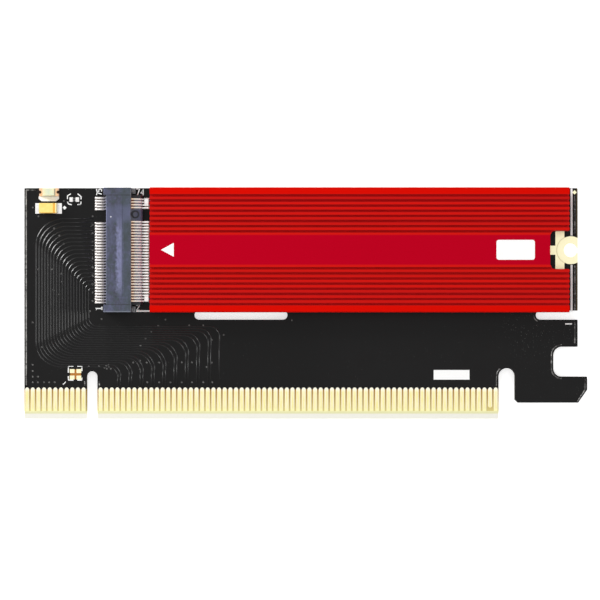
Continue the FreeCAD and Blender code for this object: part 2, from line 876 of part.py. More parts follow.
def make_hold_downs():
    """Bent clips: a foot on the board, a short upright against the end block and a tongue in its slot."""
    body = new_body("socket_hold_downs", z="board_thickness")
    middle = f"({MODULE_AXIS} - {CLIP_PITCH} / 2)"
    near, far = "socket_front", "socket_front + clip_thickness"
    foot_top = "pad_thickness + clip_thickness"
    toe = "socket_front + clip_foot_length"
    foot = prism(
        body,
        "clip_foot",
        [(near, "pad_thickness"), (toe, "pad_thickness"), (toe, foot_top), (near, foot_top)],
        middle,
        "clip_foot_width",
    )
    tongue_rear = "socket_front - clip_tongue_length"
    tongue_low = "clip_tongue_height - clip_thickness"
    arm = prism(
        body,
        "clip_arm",
        [
            (near, "pad_thickness"),
            (far, "pad_thickness"),
            (far, "clip_tongue_height"),
            (tongue_rear, "clip_tongue_height"),
            (tongue_rear, tongue_low),
            (near, tongue_low),
        ],
        middle,
        "clip_tongue_width",
    )
    repeat(body, [foot, arm], "Y_Axis", CLIP_PITCH, "2")
    return body


def make_solder_pads(label, left, right, first, end_count):
    """The board's pads under one row of contact tails."""
    body = new_body(label, z="board_thickness")

    def landing(name, start):
        sketch = new_sketch(body, f"{label}_{name}")
        half = "solder_pad_width / 2"
        rectangle(sketch, left, right, f"{start} - {half}", f"{start} + {half}")
        return pad(body, sketch, "pad_thickness")

    in_both_groups(body, landing, first, end_count)
    return body


def make_hold_down_pads():
    body = new_body("hold_down_pads", z="board_thickness")
    sketch = new_sketch(body, "clip_landing")
    middle = f"({MODULE_AXIS} - {CLIP_PITCH} / 2)"
    right = "socket_front + clip_foot_length + clip_pad_margin"
    half = "clip_foot_width / 2"
    rectangle(sketch, "socket_front", right, f"{middle} - {half}", f"{middle} + {half}")
    repeat(body, [pad(body, sketch, "pad_thickness")], "Y_Axis", CLIP_PITCH, "2")
    return body


# ---- cooling ----


def cut_grooves(body, name, middle, direction):
    """Eight saw-like grooves along the extrusion, counted outwards from the middle band."""
    sketch = new_sketch(body, name, "YZ_Plane")
    half = "groove_width / 2"
    floor = "heatsink_thickness - groove_depth"
    rectangle(sketch, f"{middle} - {half}", f"{middle} + {half}", floor, f"heatsink_thickness + {PAST}")
    cut = pocket(body, sketch, f"2 * heatsink_length + {PAST}", both_ways=True)
    row = repeat(body, [cut], "Y_Axis", "groove_pitch", "groove_count")
    row.Reversed = direction < 0
    doc.recompute()


def make_heatsink():
    """Extruded bar with chamfered long edges, eight grooves each side and a milled recess round the screw."""
    body = new_body("heatsink", x="heatsink_left", y=MODULE_AXIS, z=HEATSINK_Z)
    half, high = "heatsink_width / 2", "heatsink_thickness"
    section = new_sketch(body, "extrusion", "YZ_Plane")
    polygon(
        section,
        [
            (f"0 - {half}", "0"),
            (half, "0"),
            (half, f"{high} - heatsink_chamfer"),
            (f"{half} - heatsink_chamfer", high),
            (f"heatsink_chamfer - {half}", high),
            (f"0 - {half}", f"{high} - heatsink_chamfer"),
        ],
    )
    pad(body, section, "heatsink_length")
    recess = new_sketch(body, "screw_recess", offset=high)
    inner = "heatsink_length - recess_depth"
    side = "recess_width / 2"
    rectangle(recess, inner, f"heatsink_length + {PAST}", f"0 - {side}", side)
    pocket(body, recess)
    round_upright_edges(body, [(inner, side), (inner, f"0 - {side}")], "recess_corner")
    cut_grooves(body, "upper_groove", "first_groove", 1)
    cut_grooves(body, "lower_groove", "(0 - first_groove)", -1)
    return body


def make_thermal_pad():
    """Soft sheet between the board and the heatsink, set in from its edges and from the recess."""
    body = new_body("thermal_pad", x="heatsink_left", y=MODULE_AXIS, z="board_thickness")
    sketch = new_sketch(body, "thermal_sheet")
    side = "(heatsink_width / 2 - thermal_pad_inset)"
    right = "heatsink_length - recess_depth - thermal_pad_inset"
    rectangle(sketch, "thermal_pad_inset", right, f"0 - {side}", side)
    pad(body, sketch, "thermal_pad_thickness")
    return body


# ---- lamp, capacitor, resistor ----

LAMP = ("lamp_from_left - board_left", "board_height - lamp_from_top")
CAPACITOR = ("capacitor_from_left - board_left", "board_height - capacitor_from_top")
RESISTOR = ("resistor_from_left - board_left", "board_height - resistor_from_top")


def both_ends(body, outline, width):
    """The same (X, Z) outline at the right end and, turned about, at the left end."""
    prism(body, body.Name + "_right", outline, "0", width)
    prism(body, body.Name + "_left", [(f"0 - ({across})", up) for across, up in outline], "0", width)


def wrap(outer, inset, thickness, low, high):
    """Section of a cap that wraps the end of a block: up its end and a little way over its top and bottom."""
    inner = f"{outer} - {thickness}"
    return [
        (f"{outer} - {inset}", low),
        (outer, low),
        (outer, high),
        (f"{outer} - {inset}", high),
        (f"{outer} - {inset}", f"{high} - {thickness}"),
        (inner, f"{high} - {thickness}"),
        (inner, f"{low} + {thickness}"),
        (f"{outer} - {inset}", f"{low} + {thickness}"),
    ]


def cut_castellations(body):
    """The half-round notch in each end of the lamp's base."""
    sketch = new_sketch(body, body.Name + "_notches", offset=f"lamp_base_height + {PAST}")
    for side in ("lamp_length / 2", "0 - lamp_length / 2"):
        circle(sketch, side, "0", "castellation_radius")
    pocket(body, sketch)


def make_lamp():
    """Chip lamp: plated base with half-round end notches, and a clear lens moulded on its middle."""
    base = new_body("lamp_base", *LAMP, z=PAD_TOP)
    core = new_sketch(base, "lamp_core", offset="terminal_plating")
    length = "lamp_length - 2 * terminal_plating"
    centred_rectangle(core, "0", "0", f"({length})", "lamp_width")
    pad(base, core, "lamp_base_height - 2 * terminal_plating")
    cut_castellations(base)

    terminals = new_body("lamp_terminals", *LAMP, z=PAD_TOP)
    section = wrap("lamp_length / 2", "lamp_terminal_length", "terminal_plating", "0", "lamp_base_height")
    both_ends(terminals, section, "lamp_width")
    cut_castellations(terminals)

    lens = new_body("lamp_lens", *LAMP, z=PAD_TOP)
    foot = new_sketch(lens, "lens_foot", offset="lamp_base_height - terminal_plating")
    centred_rectangle(foot, "0", "0", "lens_length", "lens_width")
    pad(lens, foot, "lens_height", draft="0 - lens_draft")
    return [base, terminals, lens]


def make_capacitor():
    """Moulded block, drafted up and down from its parting line, with flat leads folded under its ends."""
    case = new_body("capacitor_case", *CAPACITOR, z=PAD_TOP)
    parting = "case_lift + case_height / 2"
    for name, turned in (("case_upper", False), ("case_lower", True)):
        sketch = new_sketch(case, name, offset=parting)
        centred_rectangle(sketch, "0", "0", "case_length", "case_width")
        half = pad(case, sketch, "case_height / 2", draft="0 - case_draft")
        half.Reversed = turned
        doc.recompute()

    terminals = new_body("capacitor_terminals", *CAPACITOR, z=PAD_TOP)
    outer = "case_length / 2 + lead_thickness"
    under = f"{outer} - lead_underlap"
    both_ends(
        terminals,
        [
            (under, "0"),
            (outer, "0"),
            (outer, f"{parting} + lead_thickness"),
            ("case_length / 2", f"{parting} + lead_thickness"),
            ("case_length / 2", "lead_thickness"),
            (under, "lead_thickness"),
        ],
        "lead_width",
    )
    return [case, terminals]


def make_resistor():
    """Ceramic chip with a plated cap on each end."""
    core = new_body("resistor_core", *RESISTOR, z=PAD_TOP)
    sketch = new_sketch(core, "resistor_chip", offset="resistor_plating")
    length = "resistor_length - 2 * resistor_plating"
    centred_rectangle(sketch, "0", "0", f"({length})", "resistor_width")
    pad(core, sketch, "resistor_height - 2 * resistor_plating")

    terminals = new_body("resistor_terminals", *RESISTOR, z=PAD_TOP)
    section = wrap("resistor_length / 2", "resistor_cap_length", "resistor_plating", "0", "resistor_height")
    both_ends(terminals, section, "resistor_width")
    return [core, terminals]


# ---- the card ----


def make_card():
    front, back = "board_thickness - contact_thickness", "0"
    bodies = [
        make_board(),
        make_contact_row("front_short_contacts", FIRST_SHORT, "short_count", front),
        make_contact_row("front_long_contacts", "key_to_contact", "long_count", front, "long_count - 2"),
        make_contact_row("back_short_contacts", FIRST_SHORT, "short_count", back, "0"),
        make_contact_row("back_long_contacts", "key_to_contact", "long_count", back),
        make_annular_ring(),
        make_ground_pad(),
        make_corner_pad(),
        make_option_pads(),
        make_socket_housing(),
        make_socket_contacts("socket_upper_contacts", upper_contact_outline(), UPPER_FIRST, "upper_end_count"),
        make_socket_contacts("socket_lower_contacts", lower_contact_outline(), LOWER_FIRST, "lower_end_count"),
        make_solder_pads("rear_solder_pads", "rear_pad_left", "rear_pad_right", UPPER_FIRST, "upper_end_count"),
        make_solder_pads("front_solder_pads", "front_pad_left", "front_pad_right", LOWER_FIRST, "lower_end_count"),
        make_hold_downs(),
        make_hold_down_pads(),
        make_heatsink(),
        make_thermal_pad(),
    ]
    bodies += make_lamp() + make_capacitor() + make_resistor()
    bodies += [
        make_pad_pair("lamp_pads", *LAMP, "lamp_length / 2 + lamp_pad_reach", "lamp_pad_length", "lamp_width"),
        make_pad_pair(
            "capacitor_pads",
            *CAPACITOR,
            "case_length / 2 + capacitor_pad_reach",
            "capacitor_pad_length",
            "case_width",
        ),
        make_pad_pair(
            "resistor_pads",
            *RESISTOR,
            "resistor_pad_pitch / 2 + resistor_pad_length / 2",
            "resistor_pad_length",
            "resistor_pad_width",
        ),
    ]
    return bodies


def check(bodies):
    """Stop where any object failed to build or any body is empty or broken."""
    for part in doc.Objects:
        if {"Invalid", "Error"} & set(part.State):
            raise ValueError(part.Label + " did not build")
    for body in bodies:
        if body.Shape.isNull() or not body.Shape.isValid() or not body.Shape.Solids:
            raise ValueError(body.Label + " has no sound shape")


card = make_card()
doc.recompute()
check(card)
os.makedirs("parts", exist_ok=True)
for body in card:
    body.Shape.exportStep(f"parts/{body.Label}.step")
    print(body.Label, len(body.Shape.Solids), round(body.Shape.Volume, 3))
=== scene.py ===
import math

import bpy
import numpy as np
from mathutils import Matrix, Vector


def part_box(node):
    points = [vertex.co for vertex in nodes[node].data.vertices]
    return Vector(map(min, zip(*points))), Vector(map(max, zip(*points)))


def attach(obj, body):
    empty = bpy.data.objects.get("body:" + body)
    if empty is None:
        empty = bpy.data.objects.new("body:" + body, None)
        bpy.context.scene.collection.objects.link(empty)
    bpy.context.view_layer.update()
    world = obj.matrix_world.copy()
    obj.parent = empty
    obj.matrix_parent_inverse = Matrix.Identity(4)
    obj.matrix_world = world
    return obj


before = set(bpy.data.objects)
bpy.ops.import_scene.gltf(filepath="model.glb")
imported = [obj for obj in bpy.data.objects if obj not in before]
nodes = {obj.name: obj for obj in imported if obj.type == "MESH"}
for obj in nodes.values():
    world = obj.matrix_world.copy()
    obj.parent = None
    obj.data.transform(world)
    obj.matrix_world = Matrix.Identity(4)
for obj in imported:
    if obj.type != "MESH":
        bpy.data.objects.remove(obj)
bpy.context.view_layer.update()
print("frame loaded:", len(nodes), "nodes")

mm = 0.001  # in metres; the sizes below are in millimetres unless a comment says metres


def boxMm(name):  # lowest and highest corner of a node, in millimetres
    low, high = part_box(name)
    return np.array(low) / mm, np.array(high) / mm


boardLow, boardHigh = boxMm("circuit_board")
sinkLow, sinkHigh = boxMm("heatsink")
ringLow, ringHigh = boxMm("annular_ring")
housingLowY = boxMm("socket_housing")[0][1]
padTopZ = boxMm("rear_solder_pads")[1][2]
faceZ = boardHigh[2]  # the board's component side
boardTopY = boardHigh[1]
sinkTopZ = sinkHigh[2]
axisY = (sinkLow[1] + sinkHigh[1]) / 2  # the module's middle line
# counted from the ring's left, as the board's edge cuts off its right
screwX = ringLow[0] + (ringHigh[1] - ringLow[1]) / 2
contactRows = (20.74, 39.05)  # the reach along y of the socket's two rows of contacts
sunk = 0.004  # thin pieces reach this far into what they lie on
print("component side at", round(float(faceZ), 3), "mm, module line at", round(float(axisY), 3), "mm")


class Wire:
    # wraps a socket, so that an expression on wires adds its Math nodes
    def __init__(self, paint, socket):
        self.paint, self.socket = paint, socket

    def math(self, operation, *others, clamped=False, flipped=False):
        terms = (*others, self) if flipped else (self, *others)
        node = self.paint.tree.nodes.new("ShaderNodeMath")
        node.operation, node.use_clamp = operation, clamped
        for socket, value in zip(node.inputs, terms):
            self.paint.plug(socket, value)
        return Wire(self.paint, node.outputs[0])

    def __add__(self, other):
        return self.math("ADD", other)

    def __radd__(self, other):
        return self.math("ADD", other)

    def __sub__(self, other):
        return self.math("SUBTRACT", other)

    def __rsub__(self, other):
        return self.math("SUBTRACT", other, flipped=True)

    def __mul__(self, other):
        return self.math("MULTIPLY", other)

    def __rmul__(self, other):
        return self.math("MULTIPLY", other)

    def __mod__(self, other):
        return self.math("FLOORED_MODULO", other)

    def __pow__(self, other):
        return self.math("POWER", other)

    def __abs__(self):
        return self.math("ABSOLUTE")

    def clip(self):  # held between 0 and 1
        return self.math("ADD", 0.0, clamped=True)

    def rise(self, edge, soft):  # 0 below the edge, 1 above it, over a soft width
        return ((self - edge) * (1 / soft) + 0.5).clip()

    def within(self, low, high, soft):  # 1 between two places
        return self.rise(low, soft) * (1 - self.rise(high, soft))


class Paint:
    # one material: a Principled shader and the nodes that feed it
    def __init__(self, name, **constants):
        self.material = bpy.data.materials.new(name)
        self.material.use_nodes = True
        self.tree = self.material.node_tree
        self.tree.nodes.clear()
        self.shader = self.tree.nodes.new("ShaderNodeBsdfPrincipled")
        out = self.tree.nodes.new("ShaderNodeOutputMaterial")
        self.tree.links.new(self.shader.outputs[0], out.inputs[0])
        self.feed(**constants)
        place = self.add("ShaderNodeTexCoord", out="Object")
        self.mm = self.add("ShaderNodeVectorMath", {"operation": "SCALE"}, {0: place, "Scale": 1 / mm})

    def plug(self, socket, value):
        if isinstance(value, Wire):
            self.tree.links.new(value.socket, socket)
        elif isinstance(value, (tuple, list)) and socket.type == "RGBA":
            socket.default_value = (*value[:3], 1.0)
        else:
            socket.default_value = value

    def add(self, kind, settings=None, sockets=None, out=0):
        # any other node: its settings first, then its sockets' values or links
        node = self.tree.nodes.new(kind)
        for name, value in (settings or {}).items():
            setattr(node, name, value)
        for name, value in (sockets or {}).items():
            self.plug(node.inputs[name], value)
        return Wire(self, node.outputs[out])

    def feed(self, **values):
        # sockets of the shader by their names, written without spaces
        names = {socket.name.replace(" ", ""): socket for socket in self.shader.inputs}
        for name, value in values.items():
            self.plug(names[name], value)

    def parts(self, axes, vector=None):  # a vector's numbers along the named axes
        split = {0: vector or self.mm}
        return [self.add("ShaderNodeSeparateXYZ", sockets=split, out="xyz".index(axis)) for axis in axes]

    def facing(self, axes):  # the surface's own direction, in the part's axes
        return self.parts(axes, self.add("ShaderNodeNewGeometry", out="Normal"))

    def stretched(self, x, y, z):  # coordinates in millimetres, scaled along each axis
        return self.add("ShaderNodeVectorMath", {"operation": "MULTIPLY"}, {0: self.mm, 1: (x, y, z)})

    def noise(self, scale, detail=3.0, rough=0.55, where=None):
        sockets = {"Vector": where or self.mm, "Scale": scale, "Detail": detail, "Roughness": rough}
        return self.add("ShaderNodeTexNoise", sockets=sockets, out="Fac")

    def cells(self, scale, where=None):  # distance to the nearest of many scattered points
        sockets = {"Vector": where or self.mm, "Scale": scale}
        return self.add("ShaderNodeTexVoronoi", sockets=sockets, out="Distance")

    def waves(self, scale, direction, distortion=0.0):
        sockets = {"Vector": self.mm, "Scale": scale, "Distortion": distortion}
        return self.add("ShaderNodeTexWave", {"bands_direction": direction}, sockets, out="Fac")

    def blend(self, share, first, second):
        # colours mixed by a share; 6, 7 and 2 are the Mix node's colour sockets
        return self.add("ShaderNodeMix", {"data_type": "RGBA"}, {"Factor": share, 6: first, 7: second}, out=2)

    def relief(self, height, depth, strength):
        sockets = {"Height": height, "Distance": depth * mm, "Strength": strength}
        return self.add("ShaderNodeBump", sockets=sockets)


def distance(x, y, placeX, placeY):  # root of the sum of both squares
    return ((x - placeX) ** 2.0 + (y - placeY) ** 2.0) ** 0.5


def dimmed(colour, share):  # each channel times the share
    return tuple(c * share for c in colour)


def quadFaces(rows, columns, closed=False):
    # faces of a grid of points: each one joins four neighbours; closed joins the last column to the first
    r, c = np.meshgrid(np.arange(rows - 1), np.arange(columns if closed else columns - 1), indexing="ij")
    here, above, after = r * columns, (r + 1) * columns, (c + 1) % columns
    return np.stack([here + c, here + after, above + after, above + c], -1).reshape(-1, 4)


def joinGrids(grids):
    # several (points, faces) pairs as one, with the faces' numbers moved on
    starts = np.cumsum([0] + [len(points) for points, faces in grids[:-1]])
    allPoints = np.concatenate([points for points, faces in grids])
    return allPoints, np.concatenate([faces + start for (points, faces), start in zip(grids, starts)])


def makePiece(name, grids, material, smooth=True, body="root"):
    # one mesh made of grids of points in millimetres and faces of four corners
    points, faces = joinGrids(grids)
    mesh = bpy.data.meshes.new(name)
    mesh.vertices.add(len(points))
    mesh.vertices.foreach_set("co", (points * mm).astype(np.float32).ravel())
    mesh.loops.add(faces.size)
    mesh.loops.foreach_set("vertex_index", faces.astype(np.int32).ravel())
    mesh.polygons.add(len(faces))
    mesh.polygons.foreach_set("loop_start", np.arange(0, faces.size, 4, dtype=np.int32))
    mesh.polygons.foreach_set("use_smooth", np.full(len(faces), smooth))
    mesh.update(calc_edges=True)
    mesh.validate()
    mesh.materials.append(material)
    piece = bpy.data.objects.new(name, mesh)
    bpy.context.scene.collection.objects.link(piece)
    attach(piece, body)


def roundedPath(corners, radius, step=0.12, mostOfRun=0.49):
    # a line through corners; each is turned by an arc that touches both runs and uses under half of either
    corners = np.asarray(corners, float)
    pieces = [corners[:1]]
    for before, at, after in zip(corners[:-2], corners[1:-1], corners[2:]):
        u, v = before - at, after - at
        lengthU, lengthV = np.linalg.norm(u), np.linalg.norm(v)
        u, v = u / lengthU, v / lengthV
        half = math.acos(np.clip(u @ v, -1, 1)) / 2
        back = min(radius / math.tan(half), mostOfRun * lengthU, mostOfRun * lengthV)
        r = back * math.tan(half)
        inwards = (u + v) / np.linalg.norm(u + v)
        centre = at + inwards * r / math.sin(half)
        start, end = at + u * back - centre, at + v * back - centre
        a, b = math.atan2(start[1], start[0]), math.atan2(end[1], end[0])
        turn = (b - a + math.pi) % (2 * math.pi) - math.pi
        angle = np.linspace(0, 1, max(3, int(abs(turn) * r / step) + 2))[:, None] * turn + a
        pieces.append(centre + r * np.hstack([np.cos(angle), np.sin(angle)]))
    pieces.append(corners[-1:])
    return np.concatenate(pieces)


evenSlope = {  # a strip's section: straight slopes up to a low crown, as shares of its height and half width
    "crown": (0.0, 0.124, 0.806, 0.93, 1.0, 0.93, 0.806, 0.124, 0.0),
    "spread": (-1.0, -0.92, -0.48, -0.40, 0.0, 0.40, 0.48, 0.92, 1.0),
}
squareEdge = {"crown": (0.0, 1.0, 1.0, 0.0), "spread": (-1.0, -0.98, 0.98, 1.0)}


def ribbon(path, width, height, floor, section=evenSlope):
    # a low strip along a path: its height follows the section's crown, and both ends come down to the floor
    path = np.asarray(path, float)
    along = np.gradient(path, axis=0)
    along /= np.maximum(np.linalg.norm(along, axis=1, keepdims=True), 1e-9)
    rows = np.concatenate([[0], np.arange(len(path)), [-1]])
    path, along = path[rows], along[rows]
    side = np.stack([along[:, 1], -along[:, 0]], -1)
    across, up = np.array(section["spread"]) * width / 2, np.array(section["crown"]) * height
    flat = path[:, None, :] + side[:, None, :] * across[None, :, None]
    lift = np.broadcast_to(up, flat.shape[:2]).copy()
    lift[[0, -1]] = 0.0
    top = np.concatenate([flat, (floor + lift)[..., None]], -1)
    rows, columns = top.shape[:2]
    under = top[:, [-1, 0]] * [1, 1, 0] + [0, 0, floor - sunk]
    ring = np.concatenate([top, under], 1)
    return ring.reshape(-1, 3), quadFaces(rows, columns + 2, closed=True)


def plate(outline, floor, thickness):
    # a flat plate of four rings: the outline's middle, the outline low and high, and the middle again
    outline = np.asarray(outline, float)
    middle = np.broadcast_to(outline.mean(0), outline.shape)
    ringXy = np.stack([middle, outline, outline, middle])
    heights = np.array([floor, floor, floor + thickness, floor + thickness])
    ring = np.concatenate([ringXy, np.broadcast_to(heights[:, None, None], (*ringXy.shape[:2], 1))], -1)
    return ring.reshape(-1, 3), quadFaces(4, len(outline), closed=True)


def rectangle(x0, x1, y0, y1):  # its corners, anticlockwise
    return [(x0, y0), (x1, y0), (x1, y1), (x0, y1)]


def roundedBox(x0, x1, y0, y1, radius, steps=5):
    # a quarter circle about each corner's centre, anticlockwise
    quarter = np.linspace(0, np.pi / 2, steps)
    left, right, low, high = x0 + radius, x1 - radius, y0 + radius, y1 - radius
    centres = ((right, low, -np.pi / 2), (right, high, 0), (left, high, np.pi / 2), (left, low, np.pi))
    arcs = []
    for x, y, turn in centres:
        angle = quarter + turn
        arcs.append(np.stack([x + radius * np.cos(angle), y + radius * np.sin(angle)], -1))
    return np.concatenate(arcs)


def spunDots(places, profile, steps):
    # the same turned profile (radius, height) at every place; height counts from the place's own z
    places, profile = np.asarray(places, float), np.asarray(profile, float)
    angle = np.arange(steps) * 2 * np.pi / steps
    radius, height = profile[:, :1], profile[:, 1:]
    turned = [radius * np.cos(angle), radius * np.sin(angle), np.broadcast_to(height, (len(profile), steps))]
    shape = np.stack(turned, -1).reshape(-1, 3)
    faces = quadFaces(len(profile), steps, closed=True)
    points = (places[:, None, :] + shape[None]).reshape(-1, 3)
    return points, (faces[None] + (np.arange(len(places)) * len(shape))[:, None, None]).reshape(-1, 4)


boardLook = {
    "mask": (0.0042, 0.0040, 0.0040),
    "maskLight": (0.0082, 0.0078, 0.0080),
    "darkSpan": (9.0, 42.0, 9.0),  # from, to, soft: no copper sheet here, so the mask looks deeper
    "laminate": (0.46, 0.27, 0.06),
    "paleLaminate": (0.66, 0.56, 0.22),
    "windowTop": 5.25,  # bare laminate between the contacts below this height
    "tab": (-12.5, 72.5),  # the window and the bevel lie between these
    "bevelTop": 1.4,
    "bevel": (0.98, 0.965, 0.87),
    "lip": (0.85, 0.82, 0.47),  # the bevel's upper part
    "lipFrom": 0.95,  # the lip's tone sets in above this height
    "sawnEdge": (0.045, 0.036, 0.020),
    "rightRim": (0.10, 0.075, 0.035),  # laminate bared along the board's right edge
    "rimSpan": (85.78, 86.2),
    "rimFrom": 18.5,  # the rim shows above this height
    "fineGaps": (  # x range and tone where the mask is open between the socket's pads and tails
        ((0.6, 1.72), (0.20, 0.165, 0.15)),
        # painted light: the next two tones copy the contacts' copper glow and the lit grey of the socket's
        # shelf
        ((6.9, 7.55), (0.24, 0.085, 0.045)),
        ((7.55, 8.9), (0.40, 0.38, 0.43)),
        ((9.1, 10.5), (0.42, 0.36, 0.26)),
    ),
    "keyGap": (34.9, 37.15),  # the rows of contacts leave this out
    "option": (-2.93, 7.92, 0.95, 0.85),  # middle and half sizes of the bare patch round the option pads
    "copper": (0.42, 0.17, 0.03),
    "around": (0.70, 0.62, 0.34),  # resin in the fine gap round the screw's ring
    "aroundReach": 2.62,  # from the screw's middle
    "aroundRight": 83.7,  # no resin shows right of this
    "scuff": (0.16, 0.16, 0.155),
    "rubbed": (0.30, 0.30, 0.29),
    "scuffed": ((86.5, 4.6, 1.5), (85.2, 15.5, 2.6), (77.5, 15.5, 7.0)),  # x, y and reach of rubbed places
}


def boardPaint(look):
    # colour: black mask mottled by two noises, with specks and scratches and dull openings between fine pads,
    # two of them in painted light; laminate below the window's top, cream on the bevel, sawn laminate on the
    # walls
    p = Paint("blackBoard", IOR=1.45, SpecularIORLevel=0.16)
    x, y = p.parts("xy")
    nz = p.facing("z")[0]
    upwards = nz.rise(0.5, 0.1)
    cloud = p.noise(0.35, 4.0, 0.6)
    grain = p.noise(14.0, 2.0, 0.5)
    sheet = 1 - x.within(*look["darkSpan"]) * 0.75
    mask = p.blend((cloud * 0.7 + grain * 0.5 - 0.2).clip() * sheet, look["mask"], look["maskLight"])
    specks = (1 - p.cells(2.4).rise(0.07, 0.05)) * p.noise(0.8, 2.0).rise(0.56, 0.1)
    mask = p.blend(specks * 0.6, mask, look["scuff"])
    lines = 1 - p.cells(6.0, p.stretched(1.0, 0.35, 1.0)).rise(0.13, 0.08)
    scratches = lines * p.noise(2.0, 4.0, 0.7).rise(0.52, 0.1)
    for placeX, placeY, reach in look["scuffed"]:
        near = 1 - distance(x, y, placeX, placeY).rise(reach * 0.6, reach * 0.8)
        mask = p.blend(scratches * near * 0.8, mask, look["rubbed"])
    rows = y.within(*contactRows, 0.1) * (1 - y.within(*look["keyGap"], 0.1)) * upwards
    for span, tone in look["fineGaps"]:
        mask = p.blend(x.within(*span, 0.08) * rows, mask, tone)
    optionX, optionY, halfX, halfY = look["option"]
    option = (1 - abs(x - optionX).rise(halfX, 0.1)) * (1 - abs(y - optionY).rise(halfY, 0.1)) * upwards
    mask = p.blend(option, mask, look["copper"])
    screw = 1 - distance(x, y, screwX, axisY).rise(look["aroundReach"], 0.06)
    mask = p.blend(screw * (1 - x.rise(look["aroundRight"], 0.05)), mask, look["around"])
    weave = p.waves(1.1, "X", 0.6)
    windowTop, bevelTop = look["windowTop"], look["bevelTop"]
    down = ((windowTop - y) * (1 / (windowTop - bevelTop))).clip()
    ochre = p.blend((grain * 0.8 + weave * 0.3).clip(), look["laminate"], dimmed(look["laminate"], 0.8))
    bare = p.blend(down ** 1.6, ochre, look["paleLaminate"])
    cream = p.blend(p.noise(5.0, 3.0).clip(), look["bevel"], dimmed(look["bevel"], 0.9))
    cream = p.blend(y.rise(look["lipFrom"], 0.25), cream, look["lip"])
    inTab = x.within(*look["tab"], 0.01)
    window = (1 - y.rise(windowTop, 0.12)) * inTab
    slope = (1 - y.rise(bevelTop + 0.02, 0.05)) * inTab
    wall = 1 - abs(nz).rise(0.5, 0.2)
    rim = x.within(*look["rimSpan"], 0.1) * y.rise(look["rimFrom"], 0.2) * (0.4 + grain)
    colour = p.blend(window, mask, bare)
    colour = p.blend(slope, colour, cream)
    colour = p.blend(wall * (1 - slope), colour, look["sawnEdge"])
    colour = p.blend(rim, colour, look["rightRim"])
    rough = 0.34 + cloud * 0.08 + window * 0.25 + wall * 0.3
    p.feed(BaseColor=colour, Roughness=rough.clip(), Normal=p.relief(grain * 0.6 + cloud, 0.004, 0.6))
    return p.material


goldLook = {
    "plating": (0.90, 0.855, 0.79),
    "worn": (0.83, 0.755, 0.31),
    "bright": (0.97, 0.93, 0.88),
    "brightFrom": 5.0,
    "foot": 1.85,  # below this height the contacts take the colour of the lip under them
    "lip": (0.91, 0.87, 0.48),
    "pitch": 1.0,
}


def contactPaint(look):
    # colour: plating with long wiping streaks along y, warmer by the distance from a contact's middle line,
    # with the lip's tone at the foot and brighter at the top
    p = Paint("contactGold", Metallic=1.0)
    x, y = p.parts("xy")
    streak = p.noise(1.0, 4.0, 0.6, p.stretched(9.0, 0.5, 1.0))
    fine = p.noise(30.0, 2.0)
    half = look["pitch"] / 2
    side = abs(((x + half) % look["pitch"]) - half)  # 0 at the middle of a contact, half a pitch between two
    middle = 1 - (side * 3.3 - 0.1).clip()
    colour = p.blend(middle, look["worn"], look["plating"])
    colour = p.blend((streak * 1.6 - 0.62).clip(), colour, look["bright"])
    low = 1 - y.rise(look["foot"], 0.3)
    colour = p.blend(low * 0.85, colour, look["lip"])
    colour = p.blend(y.rise(look["brightFrom"], 0.5) * 0.6, colour, look["bright"])
    p.feed(BaseColor=colour, Roughness=(0.26 + streak * 0.14 + low * 0.12).clip())
    p.feed(Normal=p.relief(streak * 0.7 + fine * 0.3, 0.003, 0.5))
    return p.material


def platedPaint(name, colour, deep, rough):
    # colour: two close tones mixed by a soft noise, over a faintly pitted metal
    p = Paint(name, Metallic=1.0)
    cloud = p.noise(1.7, 4.0, 0.6)
    pits = p.noise(26.0, 2.0)
    tone = p.blend((cloud * 1.5 - 0.25).clip(), deep, colour)
    p.feed(BaseColor=tone, Roughness=(rough + cloud * 0.16).clip(), Normal=p.relief(pits + cloud, 0.004, 0.6))
    return p.material


socketLook = {
    "body": (0.031, 0.034, 0.052),
    "pale": (0.086, 0.094, 0.175),
    "stain": (0.026, 0.044, 0.042),
    "sheenSpan": (34.9, 37.6),  # a paler stretch along y
    "band": (0.205, 0.215, 0.375),
    "bandX": (4.60, 5.64),
    "bandY": (22.6, 34.6),
    "seam": 9.62,  # the end blocks meet the body this far from the middle line
    "dark": (0.010, 0.0105, 0.014),
    # painted highlight: this tone lightens the chamfers facing +x and a line along the housing's near end; it
    # also lightens the key's low part towards lower x
    "edge": (0.220, 0.240, 0.290),
    # painted shade: below this height the plastic between the contacts is darkened
    "lowZ": faceZ + 2.6,  # darker below this height
    # painted reflection: the contacts' copper tone cast onto the plastic where they leave it
    "root": (0.30, 0.085, 0.040),  # the contacts' glow on the plastic where they leave it
    "rootX": (6.8, 7.6),
    # painted light: the shelf under the tails is lightened to a lit grey
    "shelf": (0.30, 0.30, 0.36),
    "shelfX": (7.6, 9.0),
    "keyY": (34.95, 37.1),  # the key, where the rows of contacts leave a gap
    "keyRing": (7.75, 36.2, 0.58),  # x, y and radius of the dimple's ring
    "mark": (3.6, 35.7, 0.1),  # x, y and radius of a painted glint, a small spot of light on the roof
    "polished": (0.8, 0.82, 0.85),
}


